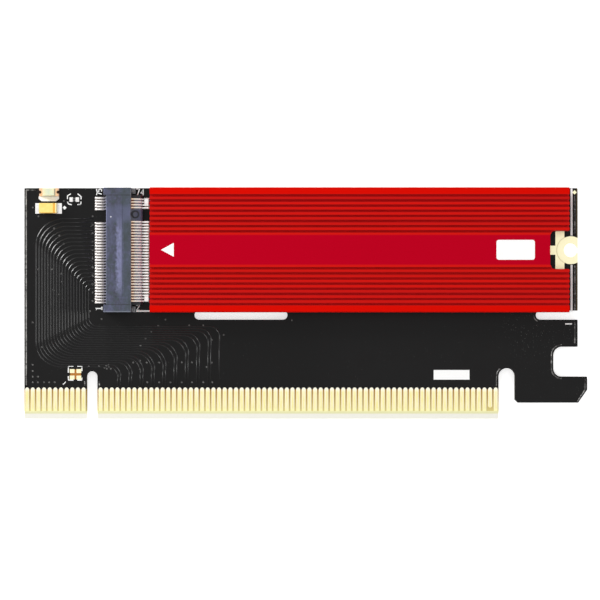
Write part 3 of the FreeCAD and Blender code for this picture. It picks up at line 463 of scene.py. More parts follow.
def socketPaint(look):
    # colour: slate plastic clouded by flow marks, a pale band along its roof, dark seams, painted shade on
    # low parts, painted highlights on edges and one painted glint; between the contacts, painted copper glow
    # and a painted lit shelf
    p = Paint("socketPlastic", SpecularIORLevel=0.45)
    x, y, z = p.parts("xyz")
    nx = p.facing("x")[0]
    flow = p.noise(0.55, 5.0, 0.62, p.stretched(1.0, 0.42, 1.0))
    speck = p.noise(9.0, 3.0)
    mottle = p.noise(2.6, 4.0, 0.7, p.stretched(1.0, 0.6, 1.0))
    colour = p.blend((flow * 1.8 + mottle * 1.7 - 1.38).clip(), look["body"], look["pale"])
    stain = (p.noise(1.1, 3.0, 0.6) + x.rise(5.6, 0.6) * 0.18).rise(0.56, 0.14)
    colour = p.blend(stain * 0.55, colour, look["stain"])
    colour = p.blend(y.within(*look["sheenSpan"], 0.8) * (0.35 + flow * 0.5), colour, look["pale"])
    wander = x + (mottle - 0.5) * 1.1
    band = wander.within(*look["bandX"], 0.45) * y.within(*look["bandY"], 2.6)
    colour = p.blend(band * (mottle * 1.25).clip(), colour, look["band"])
    seams = 1 - abs(abs(y - axisY) - look["seam"]).rise(0.09, 0.08)
    colour = p.blend(seams * 0.6, colour, look["dark"])
    # painted highlight: faces turned towards +x and a line along the near end are lightened
    nearEdge = 1 - abs(y - (housingLowY + 0.08)).rise(0.12, 0.05)
    colour = p.blend((nx.within(0.4, 0.9, 0.1) + nearEdge).clip() * 0.45, colour, look["edge"])
    key = y.within(*look["keyY"], 0.1)
    # painted shade: the low parts outside the key are darkened, where shade falls between the contacts
    low = 1 - z.rise(look["lowZ"], 0.7)
    between = low * (1 - key)
    colour = p.blend(between * 0.92, colour, look["dark"])
    behind = between * y.within(*contactRows, 0.1)
    # painted reflection: copper glow on the plastic at the contacts' roots
    colour = p.blend(behind * x.within(*look["rootX"], 0.3) * 0.8, colour, look["root"])
    # painted light: the shelf between the tails is lit grey
    colour = p.blend(behind * x.within(*look["shelfX"], 0.2) * 0.9, colour, look["shelf"])
    keyX, keyY, keyR = look["keyRing"]
    ring = abs(distance(x, y, keyX, keyY) - keyR)
    keyTone = p.blend(((x - keyX) * -1.1 + 0.4).clip(), look["pale"], look["edge"])
    colour = p.blend(key * low * 0.6, colour, keyTone)
    colour = p.blend((1 - ring.rise(0.15, 0.1)) * key * 0.85, colour, look["dark"])
    # painted highlight: a small glint on the roof
    glintX, glintY, glintR = look["mark"]
    colour = p.blend(1 - distance(x, y, glintX, glintY).rise(glintR, 0.06), colour, look["polished"])
    p.feed(BaseColor=colour, Roughness=(0.36 + speck * 0.14 + flow * 0.08).clip())
    p.feed(Normal=p.relief(speck + flow * 2.0, 0.012, 0.5))
    return p.material


tailLook = {
    "tin": (0.97, 0.94, 0.92),
    "front": ((0.74, 0.36, 0.18), (0.96, 0.86, 0.70)),  # bare alloy at the root, worn plating next to the tin
    "frontReach": (6.5, 9.2),  # x of root and tip
    "rear": ((0.26, 0.25, 0.30), (0.30, 0.26, 0.26)),
    "rearReach": (2.15, 1.2),
}


def tailPaint(name, look, row):
    # colour: bright tin at the tip, bare alloy towards the root, with plating worn in patches between
    p = Paint(name, Metallic=1.0)
    root, tip = look[row + "Reach"]
    patch = p.noise(3.0, 3.0, 0.6, p.stretched(1.0, 3.0, 1.0))
    along = ((p.parts("x")[0] - root) * (1 / (tip - root)) + patch * 0.5 - 0.25).clip()
    colour = p.blend((along * 2.2).clip(), *look[row])
    colour = p.blend((along * 2.0 - 0.55).clip(), colour, look["tin"])
    p.feed(BaseColor=colour, Roughness=(0.22 + patch * 0.2).clip())
    p.feed(Normal=p.relief(p.noise(20.0), 0.003, 0.5))
    return p.material


sinkLook = {
    "rib": (0.62, 0.0100, 0.0068),
    "rail": (0.66, 0.0042, 0.0012),
    "band": (0.475, 0.0006, 0.0150),
    "groove": (0.56, 0.0110, 0.0130),
    "tones": ((0.40, 0.0080, 0.0085), (0.60, 0.0060, 0.0040)),  # every rib leans to one of these
    "bandHalf": 2.62,
    "ribSpan": (3.0, 9.8),  # distances from the middle line
    "railFrom": 9.85,
    "grooveFrom": 0.35,  # painted shade in the grooves sets in at this depth
}


def sinkPaint(look):
    # colour: red by distance from the middle line (band, ribs, rails), with painted shade by depth in the
    # grooves
    p = Paint("redAnodised", Metallic=1.0)
    y, z = p.parts("yz")
    away = abs(y - axisY)
    drawn = p.noise(1.0, 3.0, 0.6, p.stretched(0.05, 7.0, 1.0))  # the extrusion's long lines
    blast = p.noise(18.0, 3.0, 0.6)
    cloud = p.noise(0.12, 3.0)
    colour = p.blend(away.rise(look["bandHalf"], 0.25), look["band"], look["rib"])
    colour = p.blend(away.rise(look["railFrom"], 0.1), colour, look["rail"])
    # painted shade: the red darkens with depth in the grooves
    depth = 1 - z.rise(sinkTopZ - look["grooveFrom"], 0.6)
    ribbed = away.within(*look["ribSpan"], 0.05)
    colour = p.blend(depth * ribbed, colour, look["groove"])
    own = p.noise(1.0, 0.0, 0.5, p.stretched(0.004, 1.1, 0.0))  # one tone along each rib
    ribs = ribbed * (1 - depth)
    colour = p.blend(ribs * (own * 2.4 - 0.9).clip() * 0.7, colour, look["tones"][0])
    colour = p.blend(ribs * (0.35 - own * 0.7).clip() * 2.0, colour, look["tones"][1])
    shade = (drawn * 0.5 + cloud * 0.5).clip()
    colour = p.blend(shade * 0.2, colour, dimmed(look["rib"], 0.6))
    p.feed(BaseColor=colour, Roughness=(0.40 + blast * 0.14 + drawn * 0.06).clip())
    p.feed(Normal=p.relief(blast * 0.6 + drawn, 0.006, 0.6))
    return p.material


thermalLook = {"dark": (0.16, 0.20, 0.26), "light": (0.24, 0.28, 0.33)}


def thermalPaint(look):
    # colour: grey-blue silicone mottled by its filler; the relief adds a fine printed-through weave
    p = Paint("thermalSheet", SpecularIORLevel=0.3)
    filler = p.noise(4.0, 5.0, 0.65)
    weave = p.waves(1.6, "DIAGONAL")
    colour = p.blend((filler * 1.4 - 0.2).clip(), look["dark"], look["light"])
    p.feed(BaseColor=colour, Roughness=(0.66 + filler * 0.2).clip())
    p.feed(Normal=p.relief(filler + weave * 0.3, 0.02, 0.6))
    return p.material


lampLook = {
    "chip": (0.60, 0.66, 0.50),
    "resin": (0.80, 0.78, 0.48),
    "solder": ((0.86, 0.72, 0.62), (0.70, 0.42, 0.25)),
    "flux": (0.035, 0.016, 0.010),
    "notch": 0.26,  # the dark patch reaches this far from the middle of each end
    "base": ((0.82, 0.80, 0.66), (0.60, 0.56, 0.40)),
}


def lensPaint(look):
    # colour: milky resin, with the greener chip showing through the middle
    p = Paint("lampResin", CoatRoughness=0.08, SubsurfaceWeight=0.15, SubsurfaceScale=0.0006)
    low, high = boxMm("lamp_lens")
    away = (abs(p.parts("x")[0] - (low[0] + high[0]) / 2) * (2 / (high[0] - low[0]))).clip()
    cloud = p.noise(2.6, 3.0)
    colour = p.blend((away * 0.8 + cloud * 0.4 - 0.15).clip(), look["chip"], look["resin"])
    p.feed(BaseColor=colour, Roughness=(0.16 + cloud * 0.12).clip(), CoatWeight=0.4)
    p.feed(Normal=p.relief(cloud, 0.01, 0.5))
    return p.material


def lampPadPaint(look):
    # colour: pink-white solder on the pads, dark by the distance from the middle of each end, where a notch
    # is cut
    p = Paint("lampPads", Metallic=0.8)
    low, high = boxMm("lamp_base")
    x, y = p.parts("xy")
    fromEnd = abs(abs(x - (low[0] + high[0]) / 2) - (high[0] - low[0]) / 2)
    smear = p.noise(5.0, 3.0)
    notch = distance(fromEnd, y, 0.0, (low[1] + high[1]) / 2).rise(look["notch"] + smear * 0.1, 0.08)
    colour = p.blend((smear * 1.5 - 0.3).clip(), *look["solder"])
    colour = p.blend(1 - notch, colour, look["flux"])
    p.feed(BaseColor=colour, Roughness=(0.3 + smear * 0.2).clip(), Normal=p.relief(smear, 0.01, 0.6))
    return p.material


def lampBasePaint(look):
    # colour: white glass-filled resin with darker fibre ends
    p = Paint("lampLaminate")
    fibre = p.noise(12.0, 3.0, 0.6, p.stretched(1.0, 1.0, 6.0))
    colour = p.blend((fibre * 1.6 - 0.4).clip(), *look["base"])
    p.feed(BaseColor=colour, Roughness=(0.45 + fibre * 0.2).clip(), Normal=p.relief(fibre, 0.006, 0.5))
    return p.material


capacitorLook = {
    "resin": (0.90, 0.62, 0.13),
    "light": (0.93, 0.76, 0.27),
    "end": (0.98, 0.80, 0.42),
    "under": (0.60, 0.30, 0.03),
    "stripe": (0.76, 0.36, 0.025),
    "stripeSpan": (0.79, 0.90),  # shares of the case's length
}


def capacitorPaint(look):
    # colour: yellow moulded resin with flow marks, an orange bar printed near one end and a shaded near edge
    p = Paint("capacitorResin", SpecularIORLevel=0.4)
    low, high = boxMm("capacitor_case")
    x, y = p.parts("xy")
    share = (x - low[0]) * (1 / (high[0] - low[0]))
    flow = p.noise(1.3, 4.0, 0.6)
    fine = p.noise(16.0, 2.0)
    colour = p.blend((flow * 1.7 - 0.45).clip(), look["resin"], look["light"])
    bar = share.within(*look["stripeSpan"], 0.05) * (0.75 + fine * 0.4).clip()
    colour = p.blend(bar, colour, look["stripe"])
    colour = p.blend(share.rise(look["stripeSpan"][1] + 0.02, 0.03), colour, look["end"])
    shade = 1 - y.rise(low[1] + 0.14, 0.12)
    colour = p.blend(shade * 0.8, colour, look["under"])
    p.feed(BaseColor=colour, Roughness=(0.34 + fine * 0.2).clip(), Normal=p.relief(fine + flow, 0.008, 0.5))
    return p.material


chipLook = {
    "glaze": (0.02, 0.02, 0.022),
    "ceramic": (0.6, 0.6, 0.58),
    "edge": 0.42,  # share of the width from the middle to where the wear sets in
}


def chipPaint(look):
    # colour: black glaze over white ceramic, which shows in the wear at its long edges
    p = Paint("resistorChip")
    low, high = boxMm("resistor_core")
    edge = abs(p.parts("y")[0] - (low[1] + high[1]) / 2).rise((high[1] - low[1]) * look["edge"], 0.05)
    wear = p.noise(9.0, 3.0)
    colour = p.blend((edge * wear * 1.6).clip(), look["glaze"], look["ceramic"])
    p.feed(BaseColor=colour, Roughness=(0.2 + wear * 0.25).clip(), Normal=p.relief(wear, 0.004, 0.5))
    return p.material


inkLook = {"full": (0.90, 0.90, 0.89), "thin": (0.55, 0.55, 0.55)}


def inkPaint(look):
    # colour: white ink, thinner in specks where the surface under it shows through
    p = Paint("whiteInk", SpecularIORLevel=0.3)
    speck = p.noise(9.0, 4.0, 0.65)
    cloud = p.noise(1.2, 3.0)
    colour = p.blend((speck * 2.0 - 1.15).clip(), look["full"], look["thin"])
    p.feed(BaseColor=colour, Roughness=(0.42 + cloud * 0.2).clip(), Normal=p.relief(speck, 0.004, 0.5))
    return p.material


trackLook = {"mask": (0.0045, 0.0043, 0.0043), "light": (0.010, 0.0095, 0.0095)}


def trackPaint(look):
    # colour: mask over copper, the board's own tone, lighter in places; a gloss coat grows with the slope
    p = Paint("coveredCopper", IOR=1.45, SpecularIORLevel=0.16, CoatRoughness=0.2, CoatIOR=1.6)
    thin = p.noise(2.2, 4.0, 0.65)
    colour = p.blend((thin * 1.8 - 0.5).clip(), look["mask"], look["light"])
    slope = 1 - p.facing("z")[0].rise(0.965, 0.03)
    p.feed(BaseColor=colour, Roughness=(0.24 + thin * 0.2).clip(), CoatWeight=slope)
    p.feed(Normal=p.relief(p.noise(7.0, 4.0, 0.7), 0.0035, 0.6))
    return p.material


edgeGlintLook = {"mask": (0.012, 0.0115, 0.011), "metal": (0.31, 0.30, 0.285), "leftSide": -11.2}


def edgeGlintPaint(look):
    # colour: mask with painted highlights in dots on the copper sheet's step, the most along the board's left
    # side
    p = Paint("glintingCopperEdge", IOR=1.5, SpecularIORLevel=0.5)
    leftSide = 1 - p.parts("x")[0].rise(look["leftSide"], 0.1)
    glintDots = (p.noise(1.7, 5.0, 0.75) + leftSide * 0.1).rise(0.55, 0.14)
    fine = p.noise(9.0, 2.0)
    colour = p.blend((glintDots * (fine + 0.4)).clip(), look["mask"], look["metal"])
    p.feed(BaseColor=colour, Roughness=(0.24 + fine * 0.2).clip(), CoatWeight=glintDots * 0.6)
    p.feed(Normal=p.relief(fine, 0.004, 0.5))
    return p.material


viaLook = {"mask": (0.030, 0.030, 0.030), "thin": (0.13, 0.125, 0.12)}


def viaPaint(look):
    # colour: grey mask drawn thin over a plated rim, nearly bare in places
    p = Paint("coveredVia", IOR=1.5)
    thin = p.noise(3.1, 3.0)
    colour = p.blend((thin * 2.4 - 0.8).clip(), look["mask"], look["thin"])
    p.feed(BaseColor=colour, Roughness=(0.3 + thin * 0.2).clip(), Normal=p.relief(thin, 0.006, 0.5))
    return p.material


paints = {
    "board": boardPaint(boardLook),
    "contacts": contactPaint(goldLook),
    "bareGold": platedPaint("bareGold", (0.95, 0.90, 0.62), (0.90, 0.83, 0.53), 0.30),
    "solder": platedPaint("solder", (0.93, 0.92, 0.91), (0.74, 0.72, 0.70), 0.20),
    "rearSolder": platedPaint("rearSolder", (0.86, 0.82, 0.79), (0.60, 0.55, 0.52), 0.24),
    "tin": platedPaint("tinnedSteel", (0.80, 0.79, 0.78), (0.60, 0.59, 0.58), 0.28),
    "terminals": platedPaint("terminalGold", (0.90, 0.66, 0.44), (0.80, 0.42, 0.16), 0.26),
    "lampPads": lampPadPaint(lampLook),
    "socket": socketPaint(socketLook),
    "rearTails": tailPaint("rearTails", tailLook, "rear"),
    "frontTails": tailPaint("frontTails", tailLook, "front"),
    "clips": platedPaint("clipSteel", (0.30, 0.30, 0.31), (0.16, 0.16, 0.17), 0.42),
    "sink": sinkPaint(sinkLook),
    "thermal": thermalPaint(thermalLook),
    "lens": lensPaint(lampLook),
    "lampBase": lampBasePaint(lampLook),
    "capacitor": capacitorPaint(capacitorLook),
    "chip": chipPaint(chipLook),
    "ink": inkPaint(inkLook),
    "track": trackPaint(trackLook),
    "wornEdge": edgeGlintPaint(edgeGlintLook),
    "via": viaPaint(viaLook),
}

nodePaints = {
    "circuit_board": "board",
    "front_short_contacts": "contacts",
    "front_long_contacts": "contacts",
    "back_short_contacts": "contacts",
    "back_long_contacts": "contacts",
    "annular_ring": "bareGold",
    "ground_pad": "bareGold",
    "corner_pad": "bareGold",
    "option_pads": "bareGold",
    "lamp_pads": "lampPads",
    "rear_solder_pads": "rearSolder",
    "front_solder_pads": "solder",
    "hold_down_pads": "clips",
    "capacitor_pads": "solder",
    "resistor_pads": "solder",
    "socket_housing": "socket",
    "socket_upper_contacts": "rearTails",
    "socket_lower_contacts": "frontTails",
    "socket_hold_downs": "clips",
    "heatsink": "sink",
    "thermal_pad": "thermal",
    "lamp_base": "lampBase",
    "lamp_lens": "lens",
    "lamp_terminals": "terminals",
    "capacitor_case": "capacitor",
    "capacitor_terminals": "tin",
    "resistor_core": "chip",
    "resistor_terminals": "solder",
}
for name, node in nodes.items():
    node.data.materials.clear()
    node.data.materials.append(paints[nodePaints[name]])
print("finishes:", len(paints))

tracks = {
    "count": 19,
    "fromX": 0.25,
    "outerX": -9.94,  # upright run of the outermost track
    "pitchX": 0.52,
    "topY": 35.5,
    "pitchTop": 0.69,
    "middleY": 20.0,
    "bottomY": 9.2,
    "pitchBottom": 0.40,
    "downX": 4.55,  # where the outermost turns down to the contacts; from there on they run in pairs
    "pairPitch": 2.0,
    "pairGap": 0.5,
    "endY": 5.9,
    "radius": 5.0,
    "bottomRadius": 4.6,
    "pitchRadius": 0.16,  # the inner tracks turn more tightly
    "width": 0.2,
    "height": 0.045,
}


def trackBundle(t):
    # each track leaves the socket's rear, runs down the board's left side, then right, then down to a contact
    grids = []
    for i in range(t["count"]):
        x, tighter = t["outerX"] + i * t["pitchX"], i * t["pitchRadius"]
        top, low = t["topY"] - i * t["pitchTop"], t["bottomY"] + i * t["pitchBottom"]
        down = t["downX"] + i // 2 * t["pairPitch"] + i % 2 * t["pairGap"]
        upper = [(t["fromX"], top), (x, top), (x, t["middleY"])]
        lower = [(x, t["middleY"]), (x, low), (down, low), (down, t["endY"])]
        upper = roundedPath(upper, t["radius"] - tighter)
        lower = roundedPath(lower, t["bottomRadius"] - tighter)
        grids.append(ribbon(np.concatenate([upper, lower[1:]]), t["width"], t["height"], faceZ))
    return grids


copperEdge = {
    "inset": 0.35,  # how far the copper sheet stays inside the board's outline
    "width": 0.2,
    "height": 0.05,
    "contactsTop": 5.9,
    "leftFrom": 6.0,  # y where the strip up the left side starts
    "topTo": -10.0,  # x where the strip along the top ends
    "keySlot": 0.95,  # half the key slot's width
    "keyTo": 6.7,  # y where the strips beside the key slot end
    "notch": (73.45, 7.55, 1.45),  # x, y and radius of the notch at the contacts' end
    "notchArc": (0.72, 1.0),  # half turns of it that show
    "right": 86.0,
    "latch": (81.7, 7.5, 12.8, 1.5),  # the latch cut-out's left side, bottom, top and corner radius
    "slot": (78.6, 17.6, 0.8),  # the edge slot's end, bottom and corner radius
    "slotReach": (81.6, 21.0),
    "foot": ((87.35, 7.2), (87.35, 5.2), (86.65, 4.15), (85.95, 3.1)),  # along its chamfer
    "rightLines": ((17.2, 13.3, 85.5), (19.2, 27.2, 85.5), (32.6, 39.6, 85.5)),  # from y, to y, x
}


def edgeStrips(t):
    # strips along the step at the copper sheet's edge, which runs just inside the board's edge and cut-outs
    i, tabTop = t["inset"], t["contactsTop"]
    left, top, key = boardLow[0] + i, boardTopY - i, t["keySlot"] + i
    notchX, notchY, notchR = t["notch"]
    arc = np.linspace(*t["notchArc"], 12)[:, None] * np.pi
    notch = np.hstack([notchX + (notchR + i) * np.cos(arc), notchY + (notchR + i) * np.sin(arc)])
    right, (latchX, latchLow, latchHigh, latchR) = t["right"], t["latch"]
    side, bottom, ceiling = latchX - i, latchLow - i, latchHigh + i
    latch = [(right, bottom), (side, bottom), (side, ceiling), (right, ceiling)]
    (slotX, slotY, slotR), (reachX, reachY) = t["slot"], t["slotReach"]
    slot = [(reachX, slotY - i), (slotX - i, slotY - i), (slotX - i, reachY)]
    paths = [
        [(left, t["leftFrom"]), (left, top)],
        [(left, top), (t["topTo"], top)],
        [(key, tabTop), (key, t["keyTo"])],
        [(-key, tabTop), (-key, t["keyTo"])],
        np.concatenate([notch, [(notchX - notchR - i, tabTop)]]),
        roundedPath(latch, latchR + i)[1:-1],
        roundedPath(slot, slotR + i)[5:-1],
        t["foot"],
    ]
    paths += [[(x, fromY), (x, toY)] for fromY, toY, x in t["rightLines"]]
    grids = []
    for path in paths:
        path = np.asarray(path, float)
        if len(path) == 2:
            path = path[0] + np.linspace(0, 1, 12)[:, None] * (path[1] - path[0])
        grids.append(ribbon(path, t["width"], t["height"], faceZ))
    return grids


makePiece("covered_tracks", trackBundle(tracks), paints["track"])
# the copper edge strips carry painted highlights in dots
makePiece("copper_edges", edgeStrips(copperEdge), paints["wornEdge"])

vias = {
    "hole": 0.07,
    "rim": 0.17,
    "height": 0.03,
    "steps": 10,
    "tailRow": (0.12, -9.0, 1.5, 11),  # x, first y from the module's middle line, pitch and count
    "places": (
        (13.0, 17.6), (11.7, 16.5), (10.5, 15.5), (9.5, 14.3), (8.6, 13.0), (7.3, 10.0), (8.5, 10.3),
        (9.7, 10.0), (11.9, 10.0), (15.9, 10.0), (17.7, 10.0), (21.2, 10.0), (8.5, 8.8), (17.2, 16.6),
        (19.7, 16.6), (35.4, 17.5), (23.3, 14.9), (21.2, 14.0), (20.3, 9.2), (9.8, 6.5), (11.9, 6.5),
        (13.9, 6.5), (15.9, 6.5), (17.7, 6.5), (19.7, 6.5), (21.3, 6.5), (-10.5, 17.1), (-10.5, 9.6),
        (-10.5, 8.5), (-10.5, 7.5), (-9.55, 7.5), (-10.5, 6.5), (-9.6, 6.5), (-8.5, 6.5), (-7.6, 6.5),
        (-6.6, 6.5), (-6.74, 33.75), (-5.78, 32.48), (-5.0, 31.0), (-5.75, 17.65), (-8.85, 12.75),
        (-0.36, 19.1), (1.7, 17.7), (-0.6, 9.3), (1.26, 9.3), (-10.5, 37.45), (-5.0, 38.6), (-9.5, 35.9),
        (-2.2, 38.0), (-5.46, 25.7), (-5.3, 24.3), (-7.8, 27.3), (-7.1, 26.5), (-9.55, 26.5),
        (-6.8, 22.85), (-5.8, 22.1), (2.2, 9.1), (2.6, 8.9), (3.0, 9.2), (2.5, 9.5), (2.9, 9.6),
        (3.3, 8.9),
    ),
}


def viaDots(v, places):
    # a dot at every place, turned from a profile: the hole's floor, up over the rim and down to the board
    hole, rim, height = v["hole"], v["rim"], v["height"]
    profile = [(0.0, 0.004), (hole, 0.006), (hole + 0.02, height), (rim - 0.03, height), (rim, -sunk)]
    return [spunDots([(x, y, faceZ) for x, y in places], profile, v["steps"])]


tailX, tailFirst, tailPitch, tailCount = vias["tailRow"]
tailPlaces = [(tailX, axisY + tailFirst + tailPitch * k) for k in range(tailCount)]
makePiece("small_vias", viaDots(vias, vias["places"]), paints["via"])
makePiece("tail_vias", viaDots(vias, tailPlaces), paints["via"])
print("tracks and vias laid")

solder = {
    "rearWidth": 0.43,
    "rearReach": (0.60, 1.64),  # a joint's x, from and to
    "rearRuns": ((-9.25, 29), (7.25, 5)),  # first y from the module's middle line, and count
    "frontWidth": 0.44,
    "frontReach": (9.02, 10.45),
    "frontRuns": ((-9.0, 29), (7.5, 4)),
    "pitch": 0.5,
    "height": 0.14,
    "steps": 6,
    "pools": ((9.02, 10.28, 37.9, 39.22), (9.02, 10.28, 20.66, 21.9)),  # where solder bridges several pads
    "poolHeight": 0.3,
    "poolSteps": 15,
}


def solderPillow(x0, x1, y0, y1, floor, height, steps):
    # solder drawn up over a pad: its height is a root of two steep curves, nought at the rim
    u, v = np.meshgrid(np.linspace(-1, 1, steps), np.linspace(-1, 1, steps), indexing="ij")
    lift = height * ((1 - u ** 6) * (1 - v ** 6)) ** 0.5
    top = np.stack([(x0 + x1) / 2 + u * (x1 - x0) / 2, (y0 + y1) / 2 + v * (y1 - y0) / 2, floor + lift], -1)
    under = top * [1, 1, 0] + [0, 0, floor - sunk]
    sheets = np.concatenate([top, under[:, ::-1]], 1)
    rows, columns = sheets.shape[:2]
    return sheets.reshape(-1, 3), quadFaces(rows, columns, closed=True)[:, ::-1]


def jointRow(s, row):
    # one pillow on each pad of a row
    half = s[row + "Width"] / 2
    middles = [axisY + first + s["pitch"] * k for first, count in s[row + "Runs"] for k in range(count)]
    joints = [(*s[row + "Reach"], y - half, y + half) for y in middles]
    return [solderPillow(*sides, padTopZ, s["height"], s["steps"]) for sides in joints]


pools = [solderPillow(*side, padTopZ, solder["poolHeight"], solder["poolSteps"]) for side in solder["pools"]]
makePiece("rear_joints", jointRow(solder, "rear"), paints["rearSolder"])
makePiece("front_joints", jointRow(solder, "front"), paints["solder"])
makePiece("merged_solder", pools, paints["solder"])
print("solder laid")

boardInk = {
    "thickness": 0.018,
    "line": 0.19,  # a number's and a bracket's line width
    "strips": (  # width and corners
        (0.28, ((7.8, 19.12), (10.25, 19.12))),  # at the socket's end
        (0.36, ((84.93, 40.85), (84.93, 32.5))),  # the module's outline at the right
        (0.36, ((84.93, 27.3), (84.93, 19.05))),
        (0.22, ((83.8, 16.85), (85.0, 16.85))),
        (0.14, ((-5.15, 6.1), (-4.65, 6.6))),
    ),
    "brackets": (
        ((-4.2, 8.2), (-4.2, 9.3), (-3.3, 9.3)),  # round the option pads
        ((-2.6, 9.3), (-1.8, 9.3), (-1.8, 8.5)),
        ((-4.2, 7.6), (-4.2, 6.9), (-3.3, 6.9)),
        ((-2.6, 6.9), (-1.8, 6.9), (-1.8, 7.3)),
        ((-4.35, 38.95), (-4.35, 39.55), (-3.75, 39.9)),  # round the resistor
        ((-2.55, 39.9), (-1.95, 39.4), (-1.95, 38.9)),
        ((-4.35, 38.5), (-4.2, 38.1), (-3.6, 37.95)),
        ((-2.6, 37.95), (-2.0, 38.1), (-1.95, 38.5)),
    ),
    "numbers": (  # figures, x, y, height and whether they read upwards
        ("75", 1.72, 39.66, 0.9, True),
        ("1", 1.75, 19.3, 1.15, True),
        ("74", 7.85, 39.65, 1.1, False),
        ("2", 7.9, 19.3, 0.95, False),
    ),
    "spacing": 1.45,  # from figure to figure, in cell widths
    "lampBar": ((-8.9, 38.57), (-6.4, 38.57), (-5.85, 39.0), (-5.85, 39.42), (-9.45, 39.42), (-9.45, 39.0)),
    "diamond": (-4.87, 37.42, 0.37),  # x, y and half width, at the capacitor's end
    "field": (60.5, 66.85, 6.98, 8.68),  # a bare field above the contacts
}
strokes = {  # figures as strokes on a cell one wide and two high
    "1": [[(0.1, 1.6), (0.5, 2.0), (0.5, 0.0)], [(0.0, 0.0), (1.0, 0.0)]],
    "2": [[(0.0, 1.6), (0.3, 2.0), (0.8, 2.0), (1.0, 1.5), (0.0, 0.0), (1.0, 0.0)]],
    "4": [[(0.75, 0.0), (0.75, 2.0), (0.0, 0.6), (1.0, 0.6)]],
    "5": [[(1.0, 2.0), (0.1, 2.0), (0.0, 1.1), (0.7, 1.2), (1.0, 0.6), (0.6, 0.0), (0.0, 0.15)]],
    "7": [[(0.0, 2.0), (1.0, 2.0), (0.35, 0.0)]],
}


def numberPaths(figures, x, y, height, upwards, spacing):
    # each figure's strokes, scaled to the height; a quarter turn makes them read upwards
    size = height / 2
    paths = []
    for place, figure in enumerate(figures):
        for stroke in strokes[figure]:
            path = np.array(stroke) * size + [place * spacing * size, 0]
            if upwards:
                path = path[:, ::-1] * [-1, 1]
            paths.append(path + [x, y])
    return paths


def boardMarks(t):
    # square-edged strips for lines and numbers, and flat plates for the filled marks
    lines = list(t["strips"]) + [(t["line"], corners) for corners in t["brackets"]]
    for number in t["numbers"]:
        lines += [(t["line"], path) for path in numberPaths(*number, t["spacing"])]
    dotX, dotY, half = t["diamond"]
    diamond = [(dotX + half * math.cos(a), dotY + half * math.sin(a)) for a in np.arange(4) * math.pi / 2]
    outlines = (t["lampBar"], diamond, rectangle(*t["field"]))
    strips = [ribbon(path, width, t["thickness"], faceZ, squareEdge) for width, path in lines]
    return strips + [plate(outline, faceZ - sunk, t["thickness"] + sunk) for outline in outlines]


makePiece("board_print", boardMarks(boardInk), paints["ink"], smooth=False)

sinkInk = {
    "arrow": (12.4, 14.65, 1.22),  # x of tip and base, and half width
    "box": (71.35, 78.1, 1.75, 0.42),  # left, right, half height and corner radius
    "thickness": 0.02,
}


def sinkMarks(t):
    # an arrowhead that points to the socket, and a plain rounded box near the screw's end
    tip, base, half = t["arrow"]
    left, right, tall, corner = t["box"]
    arrow = [(tip, axisY), (base, axisY - half), (base, axisY + half)]
    box = roundedBox(left, right, axisY - tall, axisY + tall, corner)
    return [plate(outline, sinkTopZ - sunk, t["thickness"]) for outline in (arrow, box)]


makePiece("heatsink_print", sinkMarks(sinkInk), paints["ink"], smooth=False)
print("ink printed")

stage = {  # lengths in metres
    "floor": (0.93, 0.93, 0.925),
    "floorShade": (0.90, 0.90, 0.90),
    "size": 3.0,
    "lines": 9,  # of the floor's grid, each way
    "drop": 0.0004,  # the floor's gap under the board
    "glow": 0.6,
    "skyColour": (1.0, 1.0, 1.0),
    "sky": 0.28,
}
softBoxes = {  # place and aim, width and height, all in metres, and how bright the face looks
    "topSoftbox": ((0.04, 0.04, 1.1), (0.037, 0.02, 0.0), 1.6, 1.6, 0.92),
    "leftStrip": ((-0.65, 0.02, 0.20), (0.02, 0.02, 0.0), 0.7, 0.14, 1.0),
    "rightStrip": ((0.73, 0.02, 0.20), (0.05, 0.02, 0.0), 0.7, 0.14, 3.0),
    "upperLeftBox": ((-0.56, 0.40, 0.24), (0.0, 0.03, 0.0), 0.60, 0.17, 24.0),
    "lowerLeftBox": ((-0.54, -0.36, 0.24), (0.0, 0.03, 0.0), 0.5, 0.16, 3.5),
}
cameraLook = {
    "x": 36.83,
    "y": 21.08,
    "height": 500.0,
    "across": 106.27,  # the width seen at the board's face
    "sensor": 36.0,
}


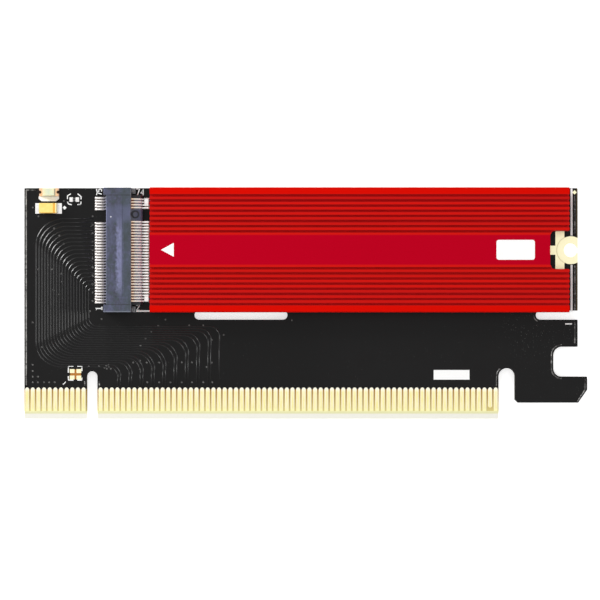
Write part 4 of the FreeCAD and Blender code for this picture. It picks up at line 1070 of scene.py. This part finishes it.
def floorPaint(t):
    # colour: near white, with the faintest cloudiness
    p = Paint("studioFloor", SpecularIORLevel=0.1, EmissionColor=(1.0, 1.0, 1.0), EmissionStrength=t["glow"])
    cloud = p.noise(0.01, 2.0)
    p.feed(BaseColor=p.blend(cloud * 0.3, t["floor"], t["floorShade"]), Roughness=(0.8 + cloud * 0.1).clip())
    return p.material


def makeFloor(t):
    # a square grid just under the board
    side = np.linspace(-t["size"] / 2, t["size"] / 2, t["lines"])
    x, y = np.meshgrid(side, side, indexing="xy")
    points = np.stack([x, y, np.full_like(x, -t["drop"])], -1).reshape(-1, 3)
    mesh = bpy.data.meshes.new("studio_floor")
    mesh.from_pydata(points.tolist(), [], quadFaces(t["lines"], t["lines"]).tolist())
    mesh.materials.append(floorPaint(t))
    floor = bpy.data.objects.new("studio_floor", mesh)
    bpy.context.scene.collection.objects.link(floor)


def softLight(name, place, aim, wide, tall, radiance):
    # a rectangle of light whose power follows from how bright its face looks
    light = bpy.data.lights.new(name, "AREA")
    light.shape, light.size, light.size_y = "RECTANGLE", wide, tall
    light.energy = radiance * math.pi * wide * tall
    lamp = bpy.data.objects.new(name, light)
    bpy.context.scene.collection.objects.link(lamp)
    lamp.location = place
    lamp.rotation_euler = (Vector(aim) - Vector(place)).to_track_quat("-Z", "Z").to_euler()


def makeSky(t):
    world = bpy.data.worlds.new("studio")
    world.use_nodes = True
    sky = world.node_tree.nodes["Background"]
    sky.inputs["Color"].default_value = (*t["skyColour"], 1.0)
    sky.inputs["Strength"].default_value = t["sky"]
    bpy.context.scene.world = world
    bpy.context.scene.view_settings.view_transform = "Standard"


def makeCamera(c):  # looks straight down from so high that it sees the given width
    data = bpy.data.cameras.new("camera")
    data.sensor_width = c["sensor"]
    data.lens = c["sensor"] * c["height"] / c["across"]
    data.clip_start, data.clip_end = 0.01, 50.0
    camera = bpy.data.objects.new("camera", data)
    bpy.context.scene.collection.objects.link(camera)
    camera.location = (c["x"] * mm, c["y"] * mm, (c["height"] + faceZ) * mm)
    bpy.context.scene.camera = camera


makeFloor(stage)
for name, box in softBoxes.items():
    softLight(name, *box)
makeSky(stage)
makeCamera(cameraLook)
print("stage set")
